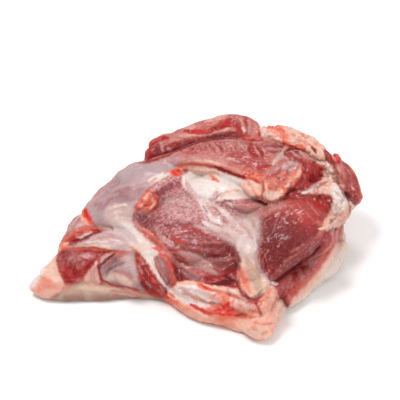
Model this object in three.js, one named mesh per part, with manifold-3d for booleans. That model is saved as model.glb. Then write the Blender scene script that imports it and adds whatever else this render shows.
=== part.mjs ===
// Boneless mutton: one boned-out joint of raw meat, lying on its fat side with the cut side up.
// Millimetres, +Z up. X runs along the joint from its thin end (-X) to its thick end (+X).
// The joint is one piece of flesh, so every muscle and fat lobe below is joined into one solid.
import * as THREE from "three";
import { mergeVertices } from "three/addons/utils/BufferGeometryUtils.js";
import Module from "manifold-3d";

// Driving sizes of the whole joint
const THIN_END_X = -142;
const COVER_TOP = 26;
const COVER_RISE_BACK = 0.14;
const COVER_WAIST = 10;
const COVER_UNDERSIDE = -6;
const CORE_TOP = 49;
const CORE_RISE_ALONG = 0.15;
const CORE_RISE_BACK = 0.24;

const wasm = await Module();
wasm.setup();

// A closed three.js geometry as a solid that can be joined and cut.
function solidOf(geometry) {
  const bare = geometry.clone();
  for (const name of Object.keys(bare.attributes)) {
    if (name !== "position") bare.deleteAttribute(name);
  }
  const merged = mergeVertices(bare, 1e-4);
  return new wasm.Manifold(
    new wasm.Mesh({
      numProp: 3,
      vertProperties: merged.attributes.position.array,
      triVerts: new Uint32Array(merged.index.array),
    }),
  );
}

// A value that runs smoothly through the listed ones as t goes from 0 to 1.
function along(values, t) {
  const last = values.length - 1;
  const place = Math.min(Math.max(t, 0), 1) * last;
  const i = Math.min(Math.floor(place), last - 1);
  const f = place - i;
  const s = f * f * (3 - 2 * f);
  return values[i] * (1 - s) + values[i + 1] * s;
}

// How far out a point of the unit sphere lies from its Y axis, as a power, and 0 at the poles.
function reachAt(unit, power) {
  const out = Math.hypot(unit.x, unit.z);
  return out < 1e-5 ? 0 : Math.pow(Math.min(out, 1), power);
}

// The soft unevenness of flesh at a point: a share of the radius, from slow waves.
function unevenness(x, y, z) {
  return (
    Math.sin(x * 0.11 + 1.3 * Math.sin(y * 0.07)) * 0.45 +
    Math.sin(y * 0.17 + z * 0.13 + 0.9) * 0.35 +
    Math.sin(x * 0.23 - z * 0.19 + y * 0.05) * 0.2
  );
}

// One muscle or fat lobe: a sphere drawn out along a path through its middle.
// path: points [x, y, z]; wide, high: half sizes along the path;
// blunt: under 1 for square-cut ends, 1 for round ones; lumpy: share of unevenness.
function lobe({ path, wide, high, blunt = 0.5, lumpy = 0.05, around = 14, rings = 9 }) {
  const spine = new THREE.CatmullRomCurve3(path.map((p) => new THREE.Vector3(...p)));
  const geometry = new THREE.SphereGeometry(1, around, rings);
  const position = geometry.attributes.position;
  const unit = new THREE.Vector3();
  const up = new THREE.Vector3(0, 0, 1);
  for (let i = 0; i < position.count; i++) {
    unit.fromBufferAttribute(position, i);
    const t = Math.acos(Math.min(1, Math.max(-1, unit.y))) / Math.PI;
    const reach = reachAt(unit, blunt);
    const angle = Math.atan2(unit.z, unit.x);
    const spot = spine.getPoint(t);
    const forward = spine.getTangent(t);
    const side = new THREE.Vector3().crossVectors(up, forward).normalize();
    const top = new THREE.Vector3().crossVectors(forward, side);
    const out = new THREE.Vector3()
      .addScaledVector(side, Math.cos(angle) * along(wide, t) * reach)
      .addScaledVector(top, Math.sin(angle) * along(high, t) * reach);
    const swell = 1 + lumpy * unevenness(spot.x + out.x, spot.y + out.y, spot.z + out.z);
    spot.addScaledVector(out, swell);
    position.setXYZ(i, spot.x, spot.y, spot.z);
  }
  return solidOf(geometry);
}

// A broad pad of flesh or fat: a sphere pressed to a plan outline.
// outline: points [x, y] round its waist; waist: the waist's height; low: its underside;
// topAt(x, y): the height of its top; edge: under 1 for a squarer edge.
function pad({ outline, waist, low, topAt, edge = 0.5, around = 40, rings = 10 }) {
  const loop = new THREE.CatmullRomCurve3(outline.map(([x, y]) => new THREE.Vector3(x, y, 0)), true);
  const heart = new THREE.Vector3();
  outline.forEach(([x, y]) => heart.add(new THREE.Vector3(x, y, 0).divideScalar(outline.length)));
  const geometry = new THREE.SphereGeometry(1, around, rings);
  const position = geometry.attributes.position;
  const unit = new THREE.Vector3();
  for (let i = 0; i < position.count; i++) {
    unit.fromBufferAttribute(position, i);
    const turn = (Math.atan2(unit.z, -unit.x) / (2 * Math.PI) + 1) % 1;
    const reach = reachAt(unit, edge);
    const rim = loop.getPoint(turn);
    const x = heart.x + (rim.x - heart.x) * reach;
    const y = heart.y + (rim.y - heart.y) * reach;
    const far = unit.y > 0 ? topAt(x, y) : low;
    position.setXYZ(i, x, y, waist + (far - waist) * Math.abs(unit.y));
  }
  return solidOf(geometry);
}

// Plan outline of the fat cover that the joint lies on, from the thin end round the front.
const coverOutline = [
  [THIN_END_X, -36], [-132, -45], [-120, -48], [-82, -47], [-40, -45], [-14, -57], [12, -74], [38, -87],
  [57, -96], [70, -84], [78, -60], [96, -36], [116, -10], [130, 12], [134, 36], [128, 66],
  [104, 94], [64, 108], [18, 107], [-22, 98], [-54, 80], [-82, 52], [-104, 24], [-120, -2],
  [-134, -22],
];

// The same outline drawn in towards the middle, for the flesh that stands on the cover.
function drawnIn(outline, share, dx, dy) {
  return outline.map(([x, y]) => [x * share + dx, y * share + dy]);
}

// The two pads that carry everything else
const coverPad = {
  outline: coverOutline,
  waist: COVER_WAIST,
  low: COVER_UNDERSIDE,
  topAt: (x, y) => COVER_TOP + COVER_RISE_BACK * y,
  edge: 0.35,
  around: 56,
};
const corePad = {
  outline: drawnIn(coverOutline, 0.945, 1, 2),
  waist: 22,
  low: 10,
  topAt: (x, y) => CORE_TOP + CORE_RISE_ALONG * x + CORE_RISE_BACK * y,
  edge: 0.42,
  around: 32,
};

// The lobes, each along the middle of one muscle or one run of fat, from the thin end on.
// The thin end: its fat nub, the cut shank muscle and the film-covered strips above it
const thinEnd = [
  { path: [[-133, -37, 9], [-118, -38, 12], [-96, -39, 11]], wide: [10, 9, 8], high: [10, 11, 9] },
  { path: [[-112, -23, 19], [-90, -27, 24], [-68, -31, 26]], wide: [13, 15, 12], high: [14, 17, 16],
    blunt: 0.3 },
  { path: [[-114, -14, 23], [-90, -12, 34], [-56, -19, 39], [-26, -27, 38]], wide: [12, 15, 15, 12],
    high: [11, 12, 13, 10] },
  { path: [[-114, -12, 23], [-102, 4, 30], [-88, 22, 35]], wide: [11, 15, 15], high: [12, 14, 14],
    blunt: 0.4 },
  { path: [[-70, -33, 20], [-56, -37, 24], [-41, -39, 26]], wide: [10, 13, 11], high: [13, 16, 14] },
];
// Strips that hang down in front beside the hollow the bone left
const frontStrips = [
  { path: [[-50, -24, 35], [-38, -38, 27], [-25, -50, 14]], wide: [10, 10, 9], high: [9, 10, 8] },
  { path: [[-36, -16, 41], [-25, -34, 34], [-12, -52, 19]], wide: [10, 9, 8], high: [9, 10, 8] },
];
// The broad film-covered muscle and the pale cushion where the bone was
const middle = [
  { path: [[-98, 6, 28], [-73, 25, 39], [-42, 44, 50], [10, 54, 56]], wide: [19, 31, 38, 38],
    high: [16, 23, 26, 25], around: 26, rings: 15, blunt: 0.45 },
  { path: [[-50, -2, 38], [0, 2, 44], [54, -4, 46]], wide: [28, 44, 38], high: [17, 20, 17],
    around: 24, rings: 12, blunt: 0.42 },
];
// White tissue over the cushion: the band that ties it to the thin end, a fat nub and a fat patch
const middleTissue = [
  { path: [[-88, 12, 41], [-60, 0, 47], [-39, -17, 43], [-28, -28, 34]], wide: [5, 7, 8, 7],
    high: [5, 6, 6, 5] },
  { path: [[-52, 20, 50], [-41, 18, 56], [-29, 19, 58]], wide: [6, 8, 7], high: [6, 8, 6], lumpy: 0.2 },
  { path: [[-16, 36, 62], [16, 28, 65], [46, 14, 62]], wide: [14, 18, 14], high: [6, 8, 7], blunt: 0.35 },
];
// The folded sheet of muscle above the cushion, its flap and the dark cut face under the flap
const foldedSheet = [
  { path: [[-34, 62, 68], [14, 62, 75], [58, 48, 77], [102, 40, 71]], wide: [13, 22, 34, 28],
    high: [11, 14, 13, 13], around: 26, rings: 15, blunt: 0.36 },
  { path: [[44, 34, 77], [58, 18, 76], [69, 0, 69]], wide: [20, 17, 10], high: [8, 8, 7] },
  { path: [[74, 28, 62], [92, 22, 63], [108, 30, 63]], wide: [15, 15, 11], high: [13, 14, 11] },
];
// The roll along the back, in two ridges
const backRoll = [
  { path: [[-46, 66, 70], [-12, 76, 78], [28, 84, 82], [54, 84, 80]], wide: [10, 11, 11, 10],
    high: [13, 12, 10, 9], blunt: 0.25 },
  { path: [[-42, 79, 73], [-6, 90, 80], [32, 101, 84], [60, 95, 80]], wide: [9, 10, 11, 11],
    high: [10, 11, 11, 10], blunt: 0.3 },
];
// The thick end: the fat rim, the end muscle and the fat lumps beside it
const thickEnd = [
  { path: [[36, 90, 78], [76, 88, 77], [102, 76, 74], [121, 60, 68]], wide: [13, 13, 13, 10],
    high: [12, 12, 13, 11], blunt: 0.35 },
  { path: [[88, 62, 58], [118, 62, 60], [134, 48, 56], [135, 30, 43]], wide: [14, 14, 12, 9],
    high: [15, 14, 12, 9], blunt: 0.4 },
  { path: [[94, 24, 62], [114, 30, 64], [119, 15, 58], [124, 8, 42]], wide: [8, 11, 12, 10],
    high: [7, 9, 10, 9], lumpy: 0.2 },
];
// The big smooth muscle, the slab beneath it and the fat under the slab
const smoothMuscle = [
  { path: [[120, 14, 46], [92, -2, 52], [70, -26, 46], [58, -52, 27]], wide: [26, 40, 34, 14],
    high: [15, 21, 20, 10], around: 26, rings: 15, blunt: 0.45 },
  { path: [[125, 18, 27], [107, -12, 26], [86, -38, 19], [71, -58, 12]], wide: [9, 12, 12, 9],
    high: [17, 15, 13, 9] },
  { path: [[133, 22, 14], [113, -14, 11], [88, -42, 9], [71, -64, 9]], wide: [10, 10, 9, 9],
    high: [12, 11, 9, 9] },
];
// Fat tags at the front corner
const cornerTags = [
  { path: [[38, -10, 58], [44, -34, 53], [46, -53, 44], [49, -65, 28]], wide: [9, 9, 12, 9],
    high: [7, 7, 9, 9] },
  { path: [[50, -60, 22], [59, -73, 29], [64, -79, 36]], wide: [8, 7, 6], high: [7, 7, 6] },
  { path: [[36, -79, 10], [54, -86, 12], [67, -79, 15]], wide: [12, 15, 12], high: [9, 13, 14] },
];
// The front edge: fat below, film-covered folds above
const frontEdge = [
  { path: [[-26, -48, 8], [8, -67, 10], [40, -81, 12]], wide: [7, 9, 9], high: [9, 10, 11] },
  { path: [[-22, -46, 20], [4, -60, 25], [34, -67, 26]], wide: [8, 9, 9], high: [8, 9, 8] },
  { path: [[-10, -42, 28], [18, -54, 31], [50, -63, 28]], wide: [9, 9, 8], high: [7, 8, 8] },
];
// The outer flank behind, under its fat
const outerFlank = [
  { path: [[-80, 44, 26], [-32, 76, 34], [32, 88, 46], [116, 64, 46]], wide: [18, 23, 25, 24],
    high: [18, 29, 41, 35], around: 22, rings: 13 },
];

const lobes = [
  ...thinEnd, ...frontStrips, ...middle, ...middleTissue, ...foldedSheet, ...backRoll, ...thickEnd,
  ...smoothMuscle, ...cornerTags, ...frontEdge, ...outerFlank,
];
const parts = [pad(coverPad), pad(corePad), ...lobes.map(lobe)];

let joint = parts.reduce((whole, piece) => whole.add(piece));
const floorCut = new THREE.BoxGeometry(600, 600, 60).translate(0, 0, -30);
joint = joint.subtract(solidOf(floorCut));

// The joined solid as a three.js geometry.
function geometryOf(solid) {
  const mesh = solid.getMesh();
  const points = new Float32Array(mesh.numVert * 3);
  for (let i = 0; i < mesh.numVert; i++) {
    points.set(mesh.vertProperties.subarray(i * mesh.numProp, i * mesh.numProp + 3), i * 3);
  }
  const geometry = new THREE.BufferGeometry();
  geometry.setAttribute("position", new THREE.BufferAttribute(points, 3));
  geometry.setIndex(new THREE.BufferAttribute(mesh.triVerts, 1));
  geometry.computeBoundingBox();
  return geometry;
}

const flesh = new THREE.MeshStandardMaterial({ color: 0xa8474a, roughness: 0.45, metalness: 0 });
const mutton = new THREE.Mesh(geometryOf(joint), flesh);
mutton.name = "mutton";
const box = mutton.geometry.boundingBox;
mutton.position.set(-(box.min.x + box.max.x) / 2, -(box.min.y + box.max.y) / 2, -box.min.z);

const group = new THREE.Group();
group.add(mutton);

export default group;
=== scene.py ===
# %% [markdown]
# Boneless mutton: a raw joint with its bone cut out, lying on its fat side with the cut side up.
# The real thing is one piece of flesh. What makes it look like meat is how many tissues meet on its
# surface: red muscle cut along and across its fibres, creamy fat, bluish silver skin and a little blood.
# The solid that the frame holds has the right muscles in the right places, but flat facets. Here the
# same lobes are made again from fine spheres, fused into one skin, carved with the small folds that a
# knife leaves, and painted tissue by tissue with procedural fibres, marbling and fat on top.

# %% Load the frame
import math

import bpy
import numpy as np
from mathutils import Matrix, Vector, noise
from mathutils.bvhtree import BVHTree


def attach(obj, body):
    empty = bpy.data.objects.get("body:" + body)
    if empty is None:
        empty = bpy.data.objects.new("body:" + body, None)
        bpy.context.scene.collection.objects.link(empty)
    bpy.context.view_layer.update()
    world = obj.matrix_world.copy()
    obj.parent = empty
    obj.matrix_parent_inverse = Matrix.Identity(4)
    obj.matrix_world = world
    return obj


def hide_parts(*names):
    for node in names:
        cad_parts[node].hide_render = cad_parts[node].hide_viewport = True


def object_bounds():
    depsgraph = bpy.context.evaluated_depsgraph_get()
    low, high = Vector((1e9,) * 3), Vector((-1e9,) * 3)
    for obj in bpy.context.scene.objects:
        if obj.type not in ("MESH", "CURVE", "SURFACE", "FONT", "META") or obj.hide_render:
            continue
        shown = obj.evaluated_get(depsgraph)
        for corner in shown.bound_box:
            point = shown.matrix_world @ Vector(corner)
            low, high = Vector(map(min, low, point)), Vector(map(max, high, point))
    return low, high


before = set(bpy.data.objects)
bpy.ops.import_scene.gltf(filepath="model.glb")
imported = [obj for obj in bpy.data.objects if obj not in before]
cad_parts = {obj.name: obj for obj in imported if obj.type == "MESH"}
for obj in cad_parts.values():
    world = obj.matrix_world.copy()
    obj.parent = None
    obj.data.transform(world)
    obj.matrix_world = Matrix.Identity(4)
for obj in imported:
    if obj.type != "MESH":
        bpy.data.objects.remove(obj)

cad_low, cad_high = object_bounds()
print("frame box", [round(v, 4) for v in cad_low], [round(v, 4) for v in cad_high])

# %% [markdown]
# Every muscle is long and round, so each starts as a sphere that is drawn out along a path, as dough
# is rolled. A spline through three or four given points gives the path, and two lists of half
# sizes say how wide and how high the muscle is as it goes. Plain operators can't follow a path, so the
# primitive's points are moved in code.

# %% Smooth curves
MM = 0.001


def spline(points, t, closed=False):
    """Places on a smooth curve through the points, for an array of t from 0 to 1."""
    points = np.array(points, float)
    count = len(points)
    place = np.clip(t, 0, 1) * (count if closed else count - 1)
    start = np.minimum(place.astype(int), count - 1 if closed else count - 2)
    f = (place - start)[:, None]
    if closed:
        p0, p1, p2, p3 = (points[(start + k) % count] for k in (-1, 0, 1, 2))
    else:
        padded = np.vstack([2 * points[0] - points[1], points, 2 * points[-1] - points[-2]])
        p0, p1, p2, p3 = (padded[start + k] for k in (0, 1, 2, 3))
    gap0, gap1, gap2 = (np.linalg.norm(b - a, axis=1)[:, None] ** 0.5 for a, b in ((p0, p1), (p1, p2), (p2, p3)))
    slope1 = ((p1 - p0) / gap0 - (p2 - p0) / (gap0 + gap1) + (p2 - p1) / gap1) * gap1
    slope2 = ((p2 - p1) / gap1 - (p3 - p1) / (gap1 + gap2) + (p3 - p2) / gap2) * gap1
    a = 2 * p1 - 2 * p2 + slope1 + slope2
    b = -3 * p1 + 3 * p2 - 2 * slope1 - slope2
    return ((a * f + b) * f + slope1) * f + p1


def along(values, t):
    """A value that runs smoothly through the listed ones as t goes from 0 to 1."""
    values = np.array(values, float)
    place = np.clip(t, 0, 1) * (len(values) - 1)
    start = np.minimum(place.astype(int), len(values) - 2)
    f = place - start
    f = f * f * (3 - 2 * f)
    return values[start] * (1 - f) + values[start + 1] * f


print("half way along a bend", spline([(0, 0), (1, 1), (2, 0)], np.array([0.5])).round(2))


# %% Reading and moving a mesh's points
def read_points(mesh):
    """The places of a mesh's points, one to a row."""
    flat = np.empty(len(mesh.vertices) * 3)
    mesh.vertices.foreach_get("co", flat)
    return flat.reshape(-1, 3)


def write_points(mesh, points):
    mesh.vertices.foreach_set("co", np.ascontiguousarray(points, np.float32).ravel())
    mesh.update()


def unit_sphere(segments, rings):
    """A sphere of radius 1 and the places of its points."""
    bpy.ops.object.select_all(action="DESELECT")
    bpy.ops.mesh.primitive_uv_sphere_add(segments=segments, ring_count=rings, radius=1)
    ball = bpy.context.object
    return ball, read_points(ball.data)


# %% Lobes
LOBE_FACES = (48, 32)  # round a lobe and from end to end
SHORT_STEP = 1e-3  # along a path, to see which way it heads


def reach(unit, power):
    """How far out each point of a sphere stands, from 0 at its poles; a low power gives blunt ends."""
    out = np.minimum(np.hypot(unit[:, 0], unit[:, 1]), 1)
    return np.where(out < 1e-5, 0, out ** power)


def unevenness(p):
    """Slow waves in three directions, from about -1 to 1."""
    x, y, z = p.T
    slow = np.sin(x * 0.11 + 1.3 * np.sin(y * 0.07)) * 0.45
    middle = np.sin(y * 0.17 + z * 0.13 + 0.9) * 0.35
    return slow + middle + np.sin(x * 0.23 - z * 0.19 + y * 0.05) * 0.2


def lobe(path, wide, high, blunt=0.5, lumpy=0.05):
    """One muscle or run of fat, in millimetres: a sphere drawn out along a path through its middle."""
    ball, unit = unit_sphere(*LOBE_FACES)
    t = np.arccos(np.clip(unit[:, 2], -1, 1)) / math.pi
    angle = np.arctan2(unit[:, 1], unit[:, 0])
    spot = spline(path, t)
    forward = spline(path, t + SHORT_STEP) - spline(path, t - SHORT_STEP)
    forward /= np.linalg.norm(forward, axis=1)[:, None]
    side = np.cross(forward, (0, 0, 1))
    side /= np.linalg.norm(side, axis=1)[:, None]
    top = np.cross(side, forward)
    r = reach(unit, blunt)
    out = side * (np.cos(angle) * along(wide, t) * r)[:, None] + top * (np.sin(angle) * along(high, t) * r)[:, None]
    swell = 1 + lumpy * unevenness(spot + out)
    write_points(ball.data, (spot + out * swell[:, None]) * MM)
    return ball


# %% [markdown]
# A pad is a sphere pressed to a plan outline, as dough is pressed into a mould. Its upper side may slope,
# so its height is given as a rule for each place in the plan.

# %% Pads
PAD_FACES = (120, 48)


def pad(outline, waist, low, top_at, edge):
    """A broad layer of flesh or fat, in millimetres: a sphere pressed to a plan outline."""
    ball, unit = unit_sphere(*PAD_FACES)
    rim = spline([(x, y, 0) for x, y in outline], np.arctan2(unit[:, 1], unit[:, 0]) / (2 * math.pi) % 1, closed=True)
    heart = np.array([*np.mean(outline, axis=0), 0])
    plan = heart + (rim - heart) * reach(unit, edge)[:, None]
    far = np.where(unit[:, 2] > 0, top_at(plan[:, 0], plan[:, 1]), low)
    plan[:, 2] = waist + (far - waist) * np.abs(unit[:, 2])
    write_points(ball.data, plan * MM)
    return ball


# %% [markdown]
# The joint stands on two broad pads, the fat cover underneath and the core of flesh on it. The plan
# outline runs from the thin end on the left round the front corner to the thick end and back.

# %% The pads
cover_outline = [
    (-142, -36), (-132, -45), (-120, -48), (-82, -47), (-40, -45), (-14, -57), (12, -74), (38, -87),
    (57, -96), (70, -84), (78, -60), (96, -36), (116, -10), (130, 12), (134, 36), (128, 66),
    (104, 94), (64, 108), (18, 107), (-22, 98), (-54, 80), (-82, 52), (-104, 24), (-120, -2),
    (-134, -22),
]
core_outline = [(x * 0.945 + 1, y * 0.945 + 2) for x, y in cover_outline]
lumps = [
    pad(cover_outline, 10, -6, lambda x, y: 26 + 0.14 * y, 0.35),
    pad(core_outline, 22, 10, lambda x, y: 49 + 0.15 * x + 0.24 * y, 0.42),
]
print(len(lumps), "pads of", [len(lump.data.vertices) for lump in lumps], "points")

# %% [markdown]
# The muscles and runs of fat lie in the places that the solid has them. The thin end comes first: the
# shank with the lobes behind it, and two strips that hang down in front.

# %% Lobes of the thin end
lumps += [
    lobe([(-133, -37, 9), (-118, -38, 12), (-96, -39, 11)], (10, 9, 8), (10, 11, 9)),
    lobe([(-112, -23, 19), (-90, -27, 24), (-68, -31, 26)], (13, 15, 12), (14, 17, 16), blunt=0.3),
    lobe([(-114, -14, 23), (-90, -12, 34), (-56, -19, 39), (-26, -27, 38)], (12, 15, 15, 12), (11, 12, 13, 10)),
    lobe([(-114, -12, 23), (-102, 4, 30), (-88, 22, 35)], (11, 15, 15), (12, 14, 14), blunt=0.4),
    lobe([(-70, -33, 20), (-56, -37, 24), (-41, -39, 26)], (10, 13, 11), (13, 16, 14)),
]
lumps += [
    lobe([(-50, -24, 35), (-38, -38, 27), (-25, -50, 14)], (10, 10, 9), (9, 10, 8)),
    lobe([(-36, -16, 41), (-25, -34, 34), (-12, -52, 19)], (10, 9, 8), (9, 10, 8)),
]
print(len(lumps), "lumps with the thin end")

# %% [markdown]
# The middle is the film-covered muscle and the cushion where the bone was, with white tissue over it. The
# white tissue lies on as thin lobes of its own, because it has an edge all round.

# %% Lobes of the middle
lumps += [
    lobe([(-98, 6, 28), (-73, 25, 39), (-42, 44, 50), (10, 54, 56)], (19, 31, 38, 38), (16, 23, 26, 25), blunt=0.45),
    lobe([(-50, -2, 38), (0, 2, 44), (54, -4, 46)], (28, 44, 38), (17, 20, 17), blunt=0.42),
    lobe([(36, 4, 50), (56, -2, 52), (74, -5, 52)], (14, 14, 12), (9, 9, 8)),
]
# White tissue
lumps += [
    lobe([(-88, 12, 41), (-60, 0, 47), (-39, -17, 43), (-28, -28, 34)], (5, 7, 8, 7), (5, 6, 6, 5)),
    lobe([(-52, 20, 50), (-41, 18, 56), (-29, 19, 58)], (6, 8, 7), (6, 8, 6), lumpy=0.2),
    lobe([(-16, 36, 62), (16, 28, 65), (48, 15, 63), (64, 8, 60)], (14, 18, 15, 11), (6, 8, 7, 6), blunt=0.35),
]
print(len(lumps), "lumps with the middle")

# %% [markdown]
# Over the back lie a folded sheet with its flap and a roll beside it, and both end in the thick end.

# %% Lobes of the sheet, the roll and the thick end
lumps += [
    lobe([(-34, 62, 68), (14, 62, 75), (58, 48, 77), (102, 40, 71)], (13, 22, 34, 28), (11, 14, 13, 13), blunt=0.36),
    lobe([(44, 34, 77), (58, 18, 76), (69, 1, 69)], (20, 18, 13), (8, 7, 4)),
    lobe([(74, 28, 62), (92, 22, 63), (108, 30, 63)], (15, 15, 11), (13, 14, 11)),
]
# The roll
lumps += [
    lobe([(-46, 66, 70), (-12, 76, 78), (28, 84, 82), (54, 84, 80)], (10, 11, 11, 10), (13, 12, 10, 9), blunt=0.25),
    lobe([(-42, 79, 73), (-6, 90, 80), (32, 101, 84), (60, 95, 80)], (9, 10, 11, 11), (10, 11, 11, 10), blunt=0.3),
]
# The thick end
lumps += [
    lobe([(36, 90, 78), (76, 88, 77), (102, 76, 74), (121, 60, 68)], (13, 13, 13, 10), (12, 12, 13, 11), blunt=0.35),
    lobe([(88, 62, 58), (118, 62, 60), (134, 48, 56), (135, 30, 43)], (14, 14, 12, 9), (15, 14, 12, 9), blunt=0.4),
    lobe([(94, 24, 62), (114, 30, 64), (119, 15, 58), (124, 8, 42)], (8, 11, 12, 10), (7, 9, 10, 9), lumpy=0.2),
]
print(len(lumps), "lumps with the thick end")

# %% [markdown]
# In front on the right the big smooth muscle lies on a slab and its fat. Tags of fat hang at the corner,
# and the front edge and the outer flank close the shape.

# %% Lobes of the smooth muscle, the corner and the front
lumps += [
    lobe([(120, 14, 46), (92, -2, 52), (70, -26, 46), (58, -52, 27)], (26, 40, 34, 14), (15, 21, 20, 10), blunt=0.45),
    lobe([(125, 18, 27), (107, -12, 26), (86, -38, 19), (71, -58, 12)], (9, 12, 12, 9), (17, 15, 13, 9)),
    lobe([(133, 22, 14), (113, -14, 11), (88, -42, 9), (71, -64, 9)], (10, 10, 9, 9), (12, 11, 9, 9)),
]
# Tags of fat at the corner
lumps += [
    lobe([(36, -6, 56), (43, -32, 51), (46, -53, 43), (49, -65, 28)], (14, 11, 12, 10), (5, 5, 7, 8)),
    lobe([(50, -60, 22), (59, -73, 29), (64, -79, 36)], (8, 7, 6), (7, 7, 6)),
    lobe([(36, -79, 10), (54, -86, 12), (67, -79, 15)], (12, 15, 12), (9, 13, 14)),
]
# The front edge and the outer flank
lumps += [
    lobe([(-26, -48, 8), (8, -67, 10), (40, -81, 12)], (7, 9, 9), (9, 10, 11)),
    lobe([(-22, -46, 20), (4, -60, 25), (34, -67, 26)], (8, 9, 9), (8, 9, 8)),
    lobe([(-10, -42, 28), (18, -54, 31), (50, -63, 28)], (9, 9, 8), (7, 8, 8)),
    lobe([(-80, 44, 26), (-32, 76, 34), (32, 88, 46), (116, 64, 46)], (18, 23, 25, 24), (18, 29, 41, 35)),
]
print(len(lumps), "lumps of flesh and fat")

# %% [markdown]
# Fusing: a voxel remesh melts all the lumps into one closed skin with even faces, which a Boolean
# would leave full of slivers. A few rounds of smoothing round the creases, as wet flesh sags into them.
# The underside is then pressed flat, and the joint is set where the frame's box is.

# %% Fuse the lumps
VOXEL = 1.1 * MM
SAG_ROUNDS = 5


def apply_modifier(thing, kind, **settings):
    bpy.context.view_layer.objects.active = thing
    modifier = thing.modifiers.new(kind.lower(), kind)
    for name, value in settings.items():
        setattr(modifier, name, value)
    bpy.ops.object.modifier_apply(modifier=modifier.name)


def above_board(points):
    """The points, with those below the board that the joint lies on raised to it."""
    points[:, 2] = np.maximum(points[:, 2], 0)
    return points


bpy.ops.object.select_all(action="DESELECT")
for lump in lumps:
    lump.select_set(True)
bpy.context.view_layer.objects.active = lumps[0]
bpy.ops.object.join()
joint = bpy.context.object
joint.name = "mutton_joint"
apply_modifier(joint, "REMESH", mode="VOXEL", voxel_size=VOXEL)
write_points(joint.data, above_board(read_points(joint.data)))
apply_modifier(joint, "SMOOTH", factor=0.5, iterations=SAG_ROUNDS)
points = above_board(read_points(joint.data))
box_middle = (points.min(0) + points.max(0)) / 2
shift = np.array([(cad_low.x + cad_high.x) / 2 - box_middle[0], (cad_low.y + cad_high.y) / 2 - box_middle[1], 0])
points += shift
write_points(joint.data, points)
print("one skin of", len(points), "points; moved by", shift.round(5), "to the frame's box")

# %% [markdown]
# The camera stands where the photographer stood: in front, looking down on the joint at about 36
# degrees through a long lens, so the far side is hardly smaller than the near side.

# %% Camera
PHOTO_PX = 400
PX_ON_JOINT = 0.843 * MM
LOOK_DOWN = math.radians(36)
LENS, SENSOR = 110, 36
back = np.array([0, -math.cos(LOOK_DOWN), math.sin(LOOK_DOWN)])
aim = np.array([4, 0, 74]) * MM + shift
distance = PX_ON_JOINT * PHOTO_PX * LENS / SENSOR
eye = aim + back * distance
bpy.ops.object.camera_add(location=eye)
camera = bpy.context.object
camera.data.lens = LENS
camera.data.sensor_width = SENSOR
camera.rotation_mode = "QUATERNION"
camera.rotation_quaternion = Vector(back).to_track_quat("Z", "Y")
bpy.context.scene.camera = camera
print("camera", eye.round(3))


def photo_place(p):
    """Where points of the joint fall in the photo's frame, in pixels from its top left corner."""
    right = np.array([1.0, 0, 0])
    up = np.cross(back, right)
    away = p - eye
    depth = -(away @ back)
    scale = LENS / depth * PHOTO_PX / SENSOR
    return np.stack([PHOTO_PX / 2 + away @ right * scale, PHOTO_PX / 2 - away @ up * scale], axis=1)


# %% [markdown]
# What is drawn over the photo may change only the skin that the camera sees. A ray from the camera to
# each point tells whether other flesh lies before it. Points just behind an edge still count in part, so
# that a drawing fades out there and doesn't stop short.

# %% Which points the camera sees
JUST_BEHIND, WELL_BEHIND = 5 * MM, 14 * MM


def point_normals(mesh):
    """The directions that a mesh's points face, one to a row."""
    flat = np.empty(len(mesh.vertices) * 3)
    mesh.vertices.foreach_get("normal", flat)
    return flat.reshape(-1, 3)


def smoothstep(low, high, value):
    """0 up to low, 1 from high on and smooth between."""
    f = np.clip((value - low) / (high - low), 0, 1)
    return f * f * (3 - 2 * f)


def how_shown(mesh, p):
    """1 for a point that the camera sees, falling to 0 for one that lies well behind what it sees."""
    tree = BVHTree.FromPolygons([v.co for v in mesh.vertices], [f.vertices[:] for f in mesh.polygons])
    from_eye = Vector(eye)
    depth = np.zeros(len(p))
    for i, co in enumerate(p):
        way = Vector(co) - from_eye
        hit = tree.ray_cast(from_eye, way)
        if hit[0] is not None:
            depth[i] = max(0, way.length - hit[3])
    return 1 - smoothstep(JUST_BEHIND, WELL_BEHIND, depth)


# %% [markdown]
# A drawing is a line over the photo, given as pairs of pixels. There are hundreds, so they are kept as
# lists of short lines, and a small reader hands each of them to its tool. As calls of functions they
# would be brackets for the most part, and a drawn picture would have to be read from disk.

# %% Lines over the photo
def drawings(text):
    """Each drawing in a list of them: the words before its colon, and its paths, which / parts.

    A path is pairs of photo pixels, such as 84,208 90,198. A line that starts with a space goes on
    with the one above it."""
    for line in text.strip().replace("\n ", " ").splitlines():
        words, _, paths = line.partition(":")
        yield words, paths.split("/")


def drawn(path, closed=False, step=2.0):
    """A drawn line in photo pixels, run smoothly through its points."""
    if isinstance(path, str):
        path = [pair.split(",") for pair in path.split()]
    path = np.array(path, float)
    ends = np.vstack([path, path[:1]]) if closed else path
    length = np.hypot(*np.diff(ends, axis=0).T).sum()
    count = max(int(length / step), len(path)) + 1
    return spline(path, np.linspace(0, 1, count), closed)


def nearest(line, spots):
    """Distance from a line, place along it and side of it (1 is the right hand) in pixels."""
    gap = np.full(len(spots), np.inf)
    run = np.zeros(len(spots))
    side = np.zeros(len(spots))
    walked = 0.0
    for a, b in zip(line[:-1], line[1:]):
        step = b - a
        length = max(np.hypot(*step), 1e-6)
        away = spots - a
        t = np.clip(away @ step / length ** 2, 0, 1)
        d = np.hypot(*(away - t[:, None] * step).T)
        closer = d < gap
        gap[closer] = d[closer]
        run[closer] = walked + t[closer] * length
        side[closer] = np.sign(step[0] * away[closer, 1] - step[1] * away[closer, 0])
        walked += length
    return gap, run, side


def inside(line, spots):
    """True for the spots inside a closed line."""
    x, y = spots.T
    within = np.zeros(len(spots), bool)
    for (ax, ay), (bx, by) in zip(line, np.roll(line, -1, axis=0)):
        if ay != by:
            crosses = (ay > y) != (by > y)
            within ^= crosses & (x < ax + (y - ay) * (bx - ax) / (by - ay))
    return within


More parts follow.
